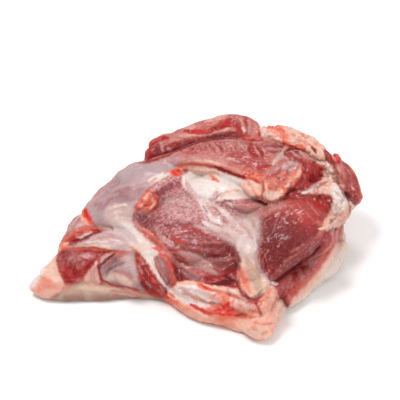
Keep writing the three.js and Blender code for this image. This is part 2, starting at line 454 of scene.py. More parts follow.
def close_to(line, spots, room):
    """Which spots lie in the line's box, widened by some room in pixels."""
    low, high = line.min(0) - room, line.max(0) + room
    return np.nonzero(((spots > low) & (spots < high)).all(axis=1))[0]


print("one stroke reads as", [(words, len(drawn(paths[0]))) for words, paths in drawings("groove 2 1: 84,224 95,226")])

# %% [markdown]
# Carving: the knife and the folds leave steps and grooves that are finer than a muscle. Each is drawn
# as a line over the photo, and the points of the skin that the camera sees near it move in or out along
# their own normals. A ledge lifts the right-hand side of its line, as where one layer lies on another.

# %% Carving tools
BELL_REACH = 3  # a rise or groove has died away at three times its width
points = read_points(joint.data)
spots = photo_place(points)
shown = how_shown(joint.data, points)
lift = np.zeros(len(points))
print("shown points", int((shown > 0.5).sum()), "of", len(points))


def groove(path, wide, deep):
    """A groove that runs out shallow at both ends."""
    line = drawn(path)
    near = close_to(line, spots, wide * BELL_REACH)
    gap, run, _ = nearest(line, spots[near])
    taper = smoothstep(0, wide * 1.5, run) * smoothstep(0, wide * 1.5, run.max() - run) if len(near) else 0
    lift[near] -= deep * np.exp(-(gap / wide) ** 2) * (0.35 + 0.65 * taper)


def ridge(path, wide, high):
    groove(path, wide, -high)


def ledge(path, spread, high):
    """A step: up on the right of the line, falling off over its spread, and a little down on the left."""
    line = drawn(path)
    near = close_to(line, spots, spread * 2)
    gap, run, side = nearest(line, spots[near])
    taper = smoothstep(0, spread, run) * smoothstep(0, spread, run.max() - run)
    over = np.where(side > 0, smoothstep(-1.0, 2.0, gap) * np.exp(-(gap / spread) ** 2), 0)
    under = np.where(side > 0, 0, -0.5 * np.exp(-(gap / (0.4 * spread)) ** 2))
    lift[near] += high * (over + under) * taper


def beads(path, wide, high, every):
    """A row of soft lumps, as fat and torn edges have."""
    line = drawn(path)
    near = close_to(line, spots, wide * BELL_REACH)
    gap, run, _ = nearest(line, spots[near])
    row = 0.5 + 0.5 * np.cos(2 * math.pi * (run / every + 0.35 * np.sin(run * 1.7 / every)))
    lift[near] += high * np.exp(-(gap / wide) ** 2) * row


def press(outline, soft, high):
    """Raises an outlined patch, or sinks it, with an edge that takes soft pixels."""
    line = drawn(outline, closed=True)
    near = close_to(line, spots, 2)
    gap, _, _ = nearest(np.vstack([line, line[:1]]), spots[near])
    lift[near] += high * smoothstep(0, soft, gap) * inside(line, spots[near])


# %% Carving from a list
def carve(text):
    """Carves a list of drawings. Each starts with its tool and that tool's sizes.

    Widths are in the photo's pixels, heights and depths in millimetres."""
    tools = {"groove": groove, "ridge": ridge, "ledge": ledge, "beads": beads, "press": press}
    count = 0
    for words, paths in drawings(text):
        tool, *sizes = words.split()
        for path in paths:
            tools[tool](path, *map(float, sizes))
            count += 1
    print("carved", count, "folds")


# %% [markdown]
# The thin end is the shank, cut off short: a shallow dish of cut muscle between flaps of fat. Its face is
# pressed in, and the flaps round it stand up a little.

# %% Carve the thin end
shank_face = "57,257 63,252 72,250 85,249 100,251 112,253 104,258 99,264 93,268 88,273 78,278 70,283 63,279 58,268"
carve(f"""
groove 1.6 1: 84,224 95,226 108,229
groove 1.5 2: 69,242 76,240 84,237 93,233 101,231
ridge 1.4 0.9: 79,238 85,235 91,232
groove 1.6 1.2: 70,247 78,247 90,249 104,251 118,253
ledge 5 1.4: 120,252 103,249 90,247 70,249 57,255
press 4 -1.6: {shank_face}
press 1.6 1.4: 114,253 104,255 98,261 101,265 108,260
press 2 1.4: 97,262 91,268 88,274 91,281 98,284 101,280 98,271
groove 1.6 1.4: 98,266 99,272 103,280 112,285 125,287 140,291 152,294
groove 1.8 1.4: 106,277 108,272 113,268 121,264
groove 1.6 1.6: 136,253 138,266 141,280 148,290 160,297
press 2 -1: 137,254 143,257 152,270 162,283 171,293 160,296 148,289 141,276
ridge 1.8 1.5: 144,253 150,261 156,272 163,282 172,291
ridge 2.4 1.6: 160,256 168,262 172,272 176,284
groove 1.3 0.9: 156,260 160,270 166,281 173,289
groove 1 0.45: 78,245 95,240 115,239 132,242 / 84,241 100,236 117,235 130,239
""")

# %% [markdown]
# The film-covered muscle is taut and smooth, so it gets only a few soft wrinkles. Where its film tears
# off, the edge stands up as a ledge.

# %% Carve the film muscle and the tissue that bridges to the strips
carve("""
ridge 2.4 0.9: 112,190 124,186 138,183 152,179 170,172
ridge 1.4 0.6: 108,210 116,207 127,206
groove 1.8 0.9: 100,227 112,229 124,233 136,241
ledge 8 2: 182,262 170,255 160,246 150,237 140,230 136,222 134,213
press 1.5 1.4: 135,209 136,205 140,203 141,207 138,210
press 1.5 1.6: 141,203 145,196 149,192 152,196 150,203 145,206
press 1.5 1.8: 151,209 155,208 158,203 156,198 153,195 153,200 152,205
groove 1.2 1.2: 142,208 146,208 151,205 152,198
groove 0.9 0.6: 141,204 143,199 147,193
groove 1.5 1.4: 160,198 160,206 153,213 142,214
""")

# %% [markdown]
# Between the hanging strips the knife opened a pit, and the muscle beside it shows its layers. The pit is
# pressed in, and the layers are narrow ridges side by side.

# %% Carve the strips, the pit between them and the strata
dark_pocket = "203,276 213,273 223,271 233,267 241,264 242,271 240,281 240,288 228,288 214,286 204,283"
carve(f"""
groove 3 2.6: 174,260 177,268 179,276 181,282
press 4 -3: {dark_pocket}
ledge 7 1.6: 241,263 230,268 218,274 205,271 192,264 180,258
ridge 2.2 0.6: 159,232 163,240 170,247 178,254 190,262 205,269 217,274
ridge 1.8 1: 166,245 172,247 180,250 / 171,250 178,253 186,256 / 176,256 184,259 192,262 / 184,255 196,259 208,266 /
    196,263 206,268 216,273
ridge 1.8 0.5: 168,254 176,262 186,270 197,276
groove 1.4 1.1: 176,264 186,272 198,279
groove 1.5 0.7: 172,240 190,246 210,250 230,249 / 196,252 210,257 226,258 238,255
""")

# %% [markdown]
# A sheet of muscle is folded over the joint like a blanket, with a torn flap at its corner. Its edge is a
# ledge with a row of soft lumps, and the short slanting grooves are the ends of its fibres.

# %% Carve the sheet, its flap and the cut face
cut_face = "303,165 310,161 318,163 323,170 321,177 313,183 305,189 297,194 290,195 288,191 295,184 301,176"
carve("""
ledge 7 2.6: 246,178 240,176 230,172 220,168 205,165 186,164 172,167
ledge 6 2.8: 303,166 300,178 292,186 285,191 280,199 272,202 264,197 263,188 254,181 246,178
beads 1.8 1.5 4.2: 302,165 299,175 292,183 284,189 279,196 274,200 266,197 265,188 264,180
press 4 -0.8: 270,176 282,168 296,165 296,176 288,183 279,188 272,190
beads 2.2 1.2 4: 246,176 254,179 263,179
ledge 5 1: 266,198 255,197 246,199 234,201 224,201
press 5 2.8: 224,202 240,201 260,201 266,206 252,213 232,212
ledge 6 1.6: 150,160 165,156 178,151 190,146 200,141 215,138 243,139
press 6 2.4: 154,150 161,142 178,136 198,133 216,130 230,128 237,130 228,134 212,136 198,138 184,144 166,151
groove 1.2 1.4: 152,158 165,154 180,149 192,144 205,140 222,138 240,138
groove 3 1.5: 222,134 230,131 237,129
groove 2 2.4: 186,131 197,132 208,132 216,128 224,123 234,120
ridge 3.5 1.6: 176,139 198,135 218,132 236,129
ridge 1.6 0.9: 206,127 214,125 221,122
press 3 0.8: 233,115 240,114 241,121 238,127 233,123
groove 1.5 1.2: 240,122 243,129 242,135
groove 1.6 1.4: 262,124 260,130 258,139
groove 1.6 1.2: 243,140 262,141 280,142
groove 1.3 1.3: 251,143 248,148 251,153 257,157 / 256,147 261,152 263,158 / 214,143 219,147 222,152 / 284,149 279,156
    271,163 / 286,150 290,156 297,159 / 291,147 298,152 304,160 / 266,148 274,149 282,148
ridge 1.6 1.2: 288,146 283,153 277,159 272,164
groove 1.4 1: 262,168 270,165 279,160 287,152
""")
for x in range(197, 262, 6):
    groove([(x - 3, 142), (x + 1, 147 + 0.6 * math.sin(x)), (x + 4, 152)], 1.0, 0.9)
carve(f"""
ridge 2.6 1.2: 186,162 200,161 214,162 226,166 238,171 248,174 258,174
groove 1.6 0.8: 196,157 212,157 226,159 240,164 252,168
beads 2.2 1.5 4: 238,170 245,172 252,172 260,173
press 2 1.5: 270,170 277,166 283,168 282,174 275,177 269,175 / 284,165 292,162 299,164 298,171 291,174 285,171 /
    268,180 275,178 280,182 277,189 270,189 / 282,178 290,175 294,178 289,184 283,185
press 4 -0.8: {cut_face}
press 3 5.5: 328,155 338,158 344,168 348,184 347,194 341,189 337,178 332,167
press 4 3.2: 288,151 298,149 308,154 314,161 308,165 298,164 290,159
press 4 1.6: 300,176 306,172 312,178 306,186 298,192 292,191
press 3 2.4: 306,159 313,160 315,170 312,178 307,173
press 5 1.3: 186,167 200,166 216,169 222,173 212,174 196,172 186,171
""")

# %% [markdown]
# Fat breaks into lumps where it is pulled, so the rim and the thick end get rows of beads.

# %% Carve the rim, the fat lumps and the thick end
carve("""
ledge 6 1.8: 328,160 318,160 306,151 293,147 283,143 270,141
beads 4 1.3 8: 264,129 276,129 288,134 302,140 315,147 324,155
beads 2.6 1.2 6: 270,136 282,140 293,144 304,147
groove 1.2 1.1: 288,150 295,154 301,160 / 297,149 304,154 310,160 / 312,147 316,153
beads 2.8 2 5: 327,163 331,169 332,176 334,184 338,191
beads 2.4 1.6 5: 305,193 313,188 321,183 327,178
press 4 2.2: 330,200 335,196 343,198 346,206 343,214 334,216 329,209
press 3 1.6: 334,186 341,190 346,198 340,198 334,194
beads 3 2.4 5: 349,203 352,209 352,216
groove 1.8 2: 336,172 337,182 342,188 350,201
groove 1.3 1.3: 330,199 328,208 331,216 340,217
groove 1.6 1.2: 326,148 327,155 331,163
groove 1.5 1: 345,166 347,176 345,186
press 1.6 1.8: 335,158 340,153 342,159 340,165 336,163
""")

# %% [markdown]
# The big smooth muscle ends in a clean fold over the slab below it, and a limp flap of fat lies against
# it. Long ledges and deep soft grooves part the three.

# %% Carve the smooth muscle, the slab and the cream flap
carve("""
ledge 10 2.6: 325,231 320,243 312,253 300,261 286,271 271,285
groove 2.2 2: 272,284 282,277 293,269 304,261 313,254 320,246
groove 1.3 0.9: 280,270 292,261 304,253 315,245 323,234 / 286,260 300,251 313,241 324,230 / 292,250 304,243 315,235
    325,227
ridge 1.4 1.3: 326,227 334,221 345,214 / 328,230 337,225 345,219 / 325,225 330,219 336,216
groove 1.4 1.8: 326,232 331,229 338,226
groove 1.4 0.9: 258,240 257,254 260,268 269,282
ledge 6 2: 258,297 250,299 245,293 240,283 240,270 241,262 238,252
press 8 -2.8: 238,238 250,234 260,240 262,256 267,272 269,284 258,293 247,291 242,276 242,262 237,250
press 9 2.4: 208,236 232,238 243,248 243,262 230,264 212,256
press 4 1.4: 257,236 268,240 268,258 274,272 268,282 260,268
press 3 1.5: 257,277 266,279 271,286 264,293 256,292
press 2.5 1.4: 240,284 246,288 252,297 246,299 241,294
ridge 5 2.4: 246,260 249,269 253,278 257,287
ledge 4 1.6: 269,285 262,291 254,297 249,298 244,291
groove 2.5 0.8: 342,224 337,240 327,254 318,270 304,288
groove 2 2: 276,290 282,300 288,307
groove 1.8 1.8: 245,297 256,298 262,292 271,286
groove 1.2 0.6: 245,276 243,284 247,290 / 258,270 262,278 262,286
""")

# %% [markdown]
# The fat cover curls up along the front edge, in soft folds that run side by side.

# %% Carve the folds along the front
carve("""
ledge 4 1.7: 224,304 212,303 200,299 188,294 176,292
ledge 5 1.4: 252,316 240,314 230,311 218,311 206,313 198,309 190,305
ledge 3.5 1.5: 260,306 250,302 240,298 226,292
ledge 3 1.2: 222,293 212,290 204,287 196,282
groove 1.6 1.4: 197,283 205,288 213,290 222,293
ridge 3.2 1: 182,286 195,290 209,296 221,300
groove 1.4 0.8: 186,291 198,298 210,302 220,304
ridge 2.2 1: 190,297 200,303 212,307
groove 1.6 1: 192,306 200,310 207,313 217,311 228,310 240,313 250,315
groove 1.2 1.2: 214,307 222,307 229,304
beads 2.6 1.6 5: 220,296 225,299 229,304
ridge 2.2 1.4: 227,289 235,292 243,297
groove 1.4 1.2: 226,292 234,296 246,300
ridge 2.8 1: 232,303 244,306 257,311
press 5 2.2: 214,297 232,296 250,301 262,306 262,313 244,311 226,306
press 4 1.5: 272,288 277,292 276,298 271,304 267,312 262,314 258,308 261,300 266,293
groove 1.3 1.2: 258,300 257,308 262,315 268,312
ridge 3.4 1.8: 263,309 267,300 272,292
groove 1.3 1.2: 278,295 274,302 272,310
press 3 2.2: 275,300 281,302 284,309 280,317 273,317
groove 1.2 0.8: 245,318 255,317 264,316
groove 1 0.8: 254,323 264,324 275,323
groove 1.6 1: 168,296 178,300 190,305
""")

# %% [markdown]
# Last, the outline: a few places where the lobes stand out too far or not far enough are drawn in or out.

# %% Trim the outline
carve("""
ridge 5 4.6: 86,207 81,213 76,219
ridge 5 -5: 70,225 66,230 61,238
ridge 4 -2.2: 98,190 91,198 88,204
ridge 4 1.8: 59,245 54,252 52,259
ridge 7 -9.5: 120,171 108,181 98,191
ridge 5 2: 139,161 131,165
ridge 5 -1.4: 165,133 185,126 205,119 218,116
ridge 4 2: 147,148 150,141 158,136
ridge 3 2.2: 156,134 165,133
ridge 4 2: 242,113 252,119 261,122
ridge 4 -1.5: 298,132 310,137 322,146
ridge 3 1.4: 333,153 338,154 342,158
ridge 4 4.5: 358,190 358,199 354,206
ridge 4 5.5: 345,206 347,213 345,220
ridge 5 -4.5: 331,279 322,287 311,296
ridge 7 -3.2: 284,311 280,324 272,337
ridge 4 1.6: 224,325 236,331 243,337
ridge 4 1.4: 30,290 33,297 46,299
""")

# %% [markdown]
# Then the whole skin gets soft uneven swellings, because no muscle is as true as a lobe, and a second
# remesh cleans the faces that the carving has stretched or pushed through each other.

# %% Uneven swellings
BROAD_SWELL, SMALL_SWELL = 0.9, 0.45
BACK_SWELL, BACK_CREASE = 3.0, 2.4
LEAST_LIFT = 0.35  # of every lift, for points that the camera doesn't see


def field(p, size, seed):
    """A smooth random value from about -1 to 1 at each point, with features of the given size."""
    offset = Vector((seed * 7.3, seed * 3.1, seed * 5.7))
    return np.array([noise.noise(Vector(co) / size + offset) for co in p])


lift += BROAD_SWELL * field(points, 17 * MM, 1) + SMALL_SWELL * field(points, 7 * MM, 2)
lift *= np.maximum(shown, LEAST_LIFT)
# The outer side, which the camera doesn't see, bulges between long creases.
hidden = (1 - shown) * smoothstep(2 * MM, 14 * MM, points[:, 2])
creases = np.exp(-(field(points * [0.40, 0.40, 1.3], 18 * MM, 32) / 0.07) ** 2)
lift += hidden * (BACK_SWELL * field(points * [0.7, 0.7, 1.1], 24 * MM, 31) - BACK_CREASE * creases)
print("lifted by", lift.min().round(1), "to", lift.max().round(1), "mm")
write_points(joint.data, above_board(points + point_normals(joint.data) * (lift * MM)[:, None]))

# %% [markdown]
# The skin is thinned to at most 195,000 triangles. The model may have under 200,000 triangles. The
# thinning is left to the points that the camera doesn't see, which a vertex group names, because an
# even thinning would blur the fine folds first.

# %% A fresh skin, thinned out of sight
FINE_VOXEL = 1.06 * MM
FINE_SAG_ROUNDS = 2
MOST_TRIANGLES = 195000
HIDDEN_BELOW = 0.1


def triangles_of(mesh):
    return sum(len(f.vertices) - 2 for f in mesh.polygons)


apply_modifier(joint, "REMESH", mode="VOXEL", voxel_size=FINE_VOXEL)
apply_modifier(joint, "SMOOTH", factor=0.5, iterations=FINE_SAG_ROUNDS)
triangles = triangles_of(joint.data)
unseen = joint.vertex_groups.new(name="unseen")
for i in np.nonzero(how_shown(joint.data, read_points(joint.data)) < HIDDEN_BELOW)[0]:
    unseen.add([int(i)], 1, "REPLACE")
apply_modifier(joint, "DECIMATE", ratio=min(1, MOST_TRIANGLES / triangles), vertex_group=unseen.name)
joint.vertex_groups.clear()
points = above_board(read_points(joint.data))
write_points(joint.data, points)
print("thinned from", triangles, "triangles to", triangles_of(joint.data))
print("box", points.min(0).round(4), points.max(0).round(4))

# %% [markdown]
# Painting: each tissue has one plain colour here and six marks that tell the material how to finish it:
# fibre for muscle cut along its length, coarse for muscle cut across or torn, fatty for fat, film for the
# silver skin, dull where it has dried, and seeped where blood went in. They are painted into the skin's
# points, large areas first and the thin streaks on top, with outlines drawn over the photo. Texture
# images would need unwrapping, and wouldn't keep their sharpness on such a folded shape.

# %% Tissues
WET_HAZE = 0.018
EXPOSURE = 0.8


def rgb(red, green, blue):
    """A screen colour as linear light, less what the lamps and the wet shine add to it."""
    share = np.array([red, green, blue]) / 255
    light = np.where(share <= 0.04045, share / 12.92, ((share + 0.055) / 1.055) ** 2.4)
    return np.maximum(light * EXPOSURE - WET_HAZE, light * 0.3)


# The seventh mark is torn shreds over most of the joint and painted glints, fine pale broken lines, on the smooth
# muscle.
MARKS = ("fibre", "coarse", "fatty", "film", "dull", "seeped", "shreds", "crumbs")
OF_TISSUE = 6  # the first six come with each tissue, and the last two are sprinkled on alone

# Each line is colour, fibre, coarse, fatty, film, how little it shines and how far blood has seeped in.
TISSUES = {
    "film": (rgb(202, 169, 171), 0.1, 0, 0, 1, 0.5, 0),
    # The dark film below is also laid as painted shade in grooves and round the lower edges of a fat lump.
    "film dark": (rgb(166, 118, 121), 0.2, 0, 0, 1, 0.5, 0),
    "film blue": (rgb(190, 163, 165), 0, 0, 0, 1, 0.5, 0),
    "film white": (rgb(212, 180, 174), 0, 0, 0.3, 0.8, 0.2, 0),
    # The white film below is also laid as a painted highlight along the film muscle's ridge.
    "film pale": (rgb(206, 174, 170), 0.1, 0, 0, 0.9, 0.4, 0.1),
    # The pink film below is also laid as painted highlights, thin dashes and a sheen, on the smooth muscle.
    "film pink": (rgb(207, 148, 142), 0.3, 0, 0, 0.8, 0.2, 0.1),
    "white": (rgb(243, 229, 223), 0, 0, 0.8, 0.3, 0, 0),
    "milky": (rgb(250, 235, 228), 0, 0, 0.8, 0.3, 0, 0),
    "cream": (rgb(238, 203, 184), 0, 0, 1, 0.1, 0, 0.15),
    "beige": (rgb(200, 164, 146), 0, 0, 1, 0.1, 0.5, 0),
    "beige dark": (rgb(160, 117, 102), 0, 0, 1, 0, 0.6, 0),
    # The darker beige below is painted shade only: along a bottom edge and in a slit.
    "pale grey fat": (rgb(236, 218, 205), 0, 0, 1, 0.2, 0.4, 0),
    "peach": (rgb(253, 198, 175), 0, 0, 1, 0, 0, 0.4),
    # The tip pink below is also laid as painted highlights on the roll and the thick end.
    "tip pink": (rgb(240, 186, 169), 0, 0, 1, 0, 0, 0.25),
    # The orange fat below is also laid as one painted glint on the smooth muscle.
    "orange fat": (rgb(242, 146, 120), 0, 0, 1, 0, 0, 0.9),
    "orange": (rgb(234, 98, 74), 0, 0, 0.6, 0, 0, 1),
    "salmon": (rgb(212, 120, 104), 0.3, 0, 0.3, 0, 0, 0.4),
    "blood": (rgb(224, 34, 22), 0, 0, 0.2, 0, 0, 0.3),
    # The dark blood below is also laid as painted shade in slits, grooves and under overhanging edges.
    "blood dark": (rgb(160, 12, 12), 0, 0, 0, 0, 0.5, 0),
    "red": (rgb(178, 42, 40), 0.6, 0.1, 0, 0, 0.45, 0.2),
    "crimson": (rgb(174, 44, 42), 0.9, 0, 0, 0, 0.4, 0),
    "brick": (rgb(207, 92, 78), 0.4, 0, 0.2, 0, 0, 0.5),
    "shank": (rgb(158, 58, 58), 0.6, 0.3, 0, 0, 0.55, 0.3),
    # The deep red below is painted shade only: a near black red laid in slits, creases and under overhanging edges.
    "deep": (rgb(100, 12, 14), 0.3, 0, 0, 0, 0.9, 0),
    "muscle": (rgb(168, 68, 65), 1, 0.1, 0, 0, 0.1, 0),
    "muscle bright": (rgb(182, 70, 64), 1, 0, 0, 0, 0, 0),
    # The mid muscle below is also laid as painted shade on the lower side of the roll's rounded band.
    "muscle mid": (rgb(144, 52, 51), 1, 0, 0, 0, 0, 0),
    # The dark muscle below is also laid as painted shade in grooves.
    "muscle dark": (rgb(122, 42, 42), 1, 0.1, 0, 0, 0.2, 0),
    "muscle brown": (rgb(146, 76, 73), 1, 0, 0, 0.3, 0, 0),
    # The plum muscle below is also laid as painted shade in a groove and on the bottom of the roll's band.
    "muscle plum": (rgb(118, 42, 46), 0.8, 0, 0, 0.2, 0.5, 0),
    # The pink muscle below is also laid as painted highlights, on the top of the roll's band and down the thick end's
    # side.
    "muscle pink": (rgb(206, 124, 117), 0.9, 0.1, 0, 0.2, 0.1, 0),
    "marbled": (rgb(186, 92, 89), 0.7, 0.6, 0, 0, 0.2, 0.1),
    "coarse": (rgb(178, 106, 108), 0.3, 1, 0, 0, 0.4, 0),
    "coarse pale": (rgb(216, 164, 160), 0.2, 0.8, 0.2, 0, 0.3, 0),
    "rose": (rgb(190, 100, 94), 0.7, 0, 0, 0.1, 0.3, 0.1),
    "lilac": (rgb(183, 143, 145), 0.2, 0, 0, 1, 0.4, 0.1),
}
print(len(TISSUES), "tissues")

# %% The ground for the paint
points = read_points(joint.data)
normals = point_normals(joint.data)
shown = how_shown(joint.data, points)
wobble = np.stack([field(points, 5 * MM, 5), field(points, 5 * MM, 6)], axis=1)
spots = photo_place(points) + 0.8 * wobble
ragged = 0.8 * field(points, 2.2 * MM, 7) + 0.7 * field(points, 4.5 * MM, 8)
tint = np.zeros((len(points), 3))
marks = np.zeros((len(points), len(MARKS)))
grain = np.zeros((len(points), 3))
grain_depth = (points @ back) / MM
FAR_STEPS = 50  # a line of fibres goes on straight for so many of its steps at both ends
print(len(points), "points to paint,", int((shown > 0.5).sum()), "of them shown")


# %% Strokes and areas of paint
def mark_of(name):
    """One mark's column, with a number from 0 to 1 for each point."""
    return marks[:, MARKS.index(name)]


def lay(tissue, weight, on):
    """Lays a tissue over some points, by a weight from 0 to 1 for each."""
    colour, *mark = TISSUES[tissue]
    weight = (weight * shown[on])[:, None]
    tint[on] += (colour - tint[on]) * weight
    marks[on, :OF_TISSUE] += (np.array(mark) - marks[on, :OF_TISSUE]) * weight


def comb(path, on):
    """Lays the fibres of some points along a line: how far along it and how far off it they are."""
    line = drawn(path)
    first, last = line[0] - line[1], line[-1] - line[-2]
    line = np.vstack([line[0] + first * FAR_STEPS, line, line[-1] + last * FAR_STEPS])
    gap, run, side = nearest(line, spots[on])
    grain[on] = np.stack([run, gap * side, grain_depth[on]], axis=1) * [PX_ON_JOINT / MM, PX_ON_JOINT / MM, 1]


def cover(outline, soft):
    """The points that an outline takes in, and how fully, with a ragged edge soft pixels wide each way."""
    line = drawn(outline, closed=True)
    on = close_to(line, spots, soft)
    gap, _, _ = nearest(np.vstack([line, line[:1]]), spots[on])
    gap = np.where(inside(line, spots[on]), gap, -gap) + ragged[on]
    return on, gap, smoothstep(-soft, soft, gap)


def patch(tissue, outline, soft=1.2, fibres=None, strength=1.0):
    """Paints an outlined area, and combs its fibres along a line."""
    on, gap, share = cover(outline, soft)
    lay(tissue, share * strength, on)
    if fibres:
        comb(fibres, on[gap > 0])


def sprinkle(mark, outline, soft, strength=1.0):
    """Adds one mark to an outlined area and leaves its tissue as it is."""
    on, _, share = cover(outline, soft)
    mark_of(mark)[on] = np.maximum(mark_of(mark)[on], share * strength * shown[on])


def streaks(tissue, wide, *paths, soft=None, strength=1.0):
    """Paints strokes of one width that narrow at both ends."""
    soft = soft or 0.6 * wide
    for path in paths:
        line = drawn(path)
        on = close_to(line, spots, wide + soft)
        gap, run, _ = nearest(line, spots[on])
        ends = np.minimum(run, run.max() - run) if len(on) else 0
        half = wide / 2 * (0.35 + 0.65 * smoothstep(0, 2 * wide, ends))
        lay(tissue, (1 - smoothstep(half, half + soft, gap + 0.7 * ragged[on])) * strength, on)


# %% Painting from a list
def paint(text):
    """Paints a list of drawings, one on top of the other.

    Each starts with a tissue, then the width of its streaks in pixels, or the word area for an outline
    that a line of fibres may follow, or the word mark for a mark alone. The edge's softness in pixels
    (- for the usual one) and the strength may come last."""
    count = 0
    for words, paths in drawings(text):
        tissue, kind, *finish = words.split(", ")
        finish = {name: float(size) for name, size in zip(("soft", "strength"), finish) if size != "-"}
        if kind == "area":
            patch(tissue, paths[0], fibres="".join(paths[1:]), **finish)
        elif kind == "mark":
            for path in paths:
                sprinkle(tissue, path, **finish)
        else:
            streaks(tissue, float(kind), *paths, **finish)
        count += len(paths)
    print("painted", count, "drawings")


# %% [markdown]
# What the camera doesn't see is the outside of the leg: a cover of fat that thins out upwards, where the
# muscle shows through in long seams. There is nothing to draw it over, so smooth random fields lay it on.

# %% The sides, back and underside
colour_fat, colour_pink, colour_cream = rgb(242, 208, 188), rgb(232, 156, 136), rgb(253, 233, 216)
colour_muscle, colour_skin = rgb(160, 60, 56), rgb(204, 150, 146)
around = points * [0.35, 0.35, 1.0]
seams = field(around, 13 * MM, 11) + 0.5 * field(around, 5 * MM, 12) + 0.25 * field(points, 4 * MM, 15)
blush = smoothstep(-0.1, 0.45, field(points * [0.5, 0.5, 1], 12 * MM, 13) + 0.4 * field(points, 4 * MM, 16))[:, None]
creamy = smoothstep(0.0, 0.5, field(points, 15 * MM, 14))[:, None]
thinning = seams + (points[:, 2] / cad_high.z - 0.60) * 1.6
thin = smoothstep(-0.1, 0.35, thinning)
bare = smoothstep(0.16, 0.40, thinning)
# The hollows under the folds face the camera but are hidden from it, and are flesh.
hollow = smoothstep(0.05, 0.30, normals @ back)
bare = np.maximum(bare, hollow)
tint[:] = colour_fat + (colour_pink - colour_fat) * blush * 0.8
tint += (colour_cream - tint) * creamy * 0.6
tint += (colour_skin - tint) * (thin * 0.8)[:, None]
tint += (colour_muscle - tint) * bare[:, None]
skin = np.clip(thin - bare, 0, 1)
marks[:, :OF_TISSUE] = np.stack([bare, 0.2 * bare, 1 - thin, skin, 0.3 - 0.2 * bare, 0.3 * (1 - bare)], axis=1)
grain[:] = points[:, [0, 2, 1]] / MM
paint("""
muscle, area: 0,0 400,0 400,400 0,400 / 100,250 300,200
""")

# %% [markdown]
# Silver skin is a thin bluish film with muscle showing through it: pale lilac, darker where the muscle lies close
# under it and white where it is thick. The white streak along its ridge is a painted highlight.

# %% Paint the film muscle
paint("""
film, area: 84,208 90,198 105,183 120,170 134,159 150,159 168,158 184,160 194,164 184,168 176,171 168,176 158,181
    152,186 147,190 142,197 136,205 133,213 133,221 137,229 143,237 149,245 135,240 123,232 108,229 98,227 93,223
    91,216 87,210 / 95,215 130,185 175,165
film dark, area, 9, 0.9: 93,203 104,193 118,186 133,184 144,187 138,197 128,202 112,205 103,211 97,209
film dark, area, 7, 0.5: 112,182 125,172 133,170 128,180 118,186
film blue, area, 5: 120,172 134,164 150,163 172,162 186,163 172,170 150,173 136,178 124,180
film blue, area, 3: 88,209 96,210 104,217 102,224 95,222
film white, area, 4: 106,210 118,205 130,205 134,210 132,222 134,230 122,228 108,226 104,218
film white, 1.6, 2.2, 0.4: 110,191 124,186 138,183 150,179 / 98,202 108,197 118,194
white, 4, 3, 0.85: 150,181 160,177 170,173
salmon, 1.6, 1.5, 0.6: 150,182 157,178 / 158,184 163,181 168,177 / 165,173 169,171
red, 1.5, -, 0.8: 136,161 143,163 151,161 160,159
film pink, 3, 2, 0.5: 86,207 92,200 100,191 112,180 / 120,171 128,166 134,162
cream, 1.4, 1.4, 0.5: 108,210 113,207 120,205 127,206
film blue, 3, 3, 0.5: 116,222 123,226 130,233 136,240
""")

# %% [markdown]
# At the thin end the film runs out into pink and orange fat, with fresh blood in the creases. The near black
# strokes in the slit under the white tongue are painted shade.

# %% Paint the thin end
paint("""
film pink, area: 62,238 67,228 75,218 82,207 88,208 92,218 94,226 84,227 72,232 64,240
film white, 1.5, -, 0.7: 69,231 75,222 80,215 / 75,229 82,224 87,223
film dark, 1.4, -, 0.7: 72,229 78,221 82,218 / 66,236 70,230
orange fat, 6, 2, 0.8: 82,209 85,216 91,224
tip pink, 2, 1.6, 0.8: 80,213 84,220 89,225
orange, area, 1.2: 82,210 87,208 89,214 92,219 93,224 88,224 85,219 82,214
blood, area, 1.2: 84,209 87,211 88,215 91,219 91,222 88,221 86,217 84,213
blood dark, 1.6, -, 0.5: 85,210 87,215
brick, area, 1.3: 60,248 62,240 66,235 73,230 84,226 97,226 106,227 112,229 104,232 97,234 88,234 80,237 73,242 67,247
    / 62,246 76,232 108,228
red, 2.2, 1.5, 0.7: 92,230 100,231 108,230 / 65,244 72,238 82,232
salmon, 1.8, 1.6, 0.7: 64,239 72,232 84,228 96,228
film white, 2, 1: 79,238 85,235 91,232
blood dark, 2.4: 70,242 73,241 78,240
deep, 1.2, -, 0.75: 76,241 84,238 92,234 101,231
film pale, area, 1.4: 68,248 76,244 84,241 93,236 103,232 112,230 123,233 132,238 139,244 134,250 122,251 108,249
    95,247 84,247 / 72,246 100,238 136,243
film, 3, 2.5, 0.8: 104,233 118,236 130,241 / 112,245 122,247
salmon, 0.9, -, 0.6: 98,238 107,237 116,238 / 106,234 114,236 / 92,241 104,240 / 84,244 94,243
white, 1.2, -, 0.6: 86,243 98,241 108,242 / 110,239 122,242
cream, 1.8, 1.5: 68,249 84,247 98,247 112,249
orange fat, area, 2, 0.9: 51,259 53,250 58,246 63,242 68,246 63,251 58,256 57,263
tip pink, 2.2: 57,247 61,250 / 64,244 67,243
brick, 1.7: 58,254 68,249 80,248 92,248 104,250 114,252
red, 1.5: 95,252 104,252 111,250
""")
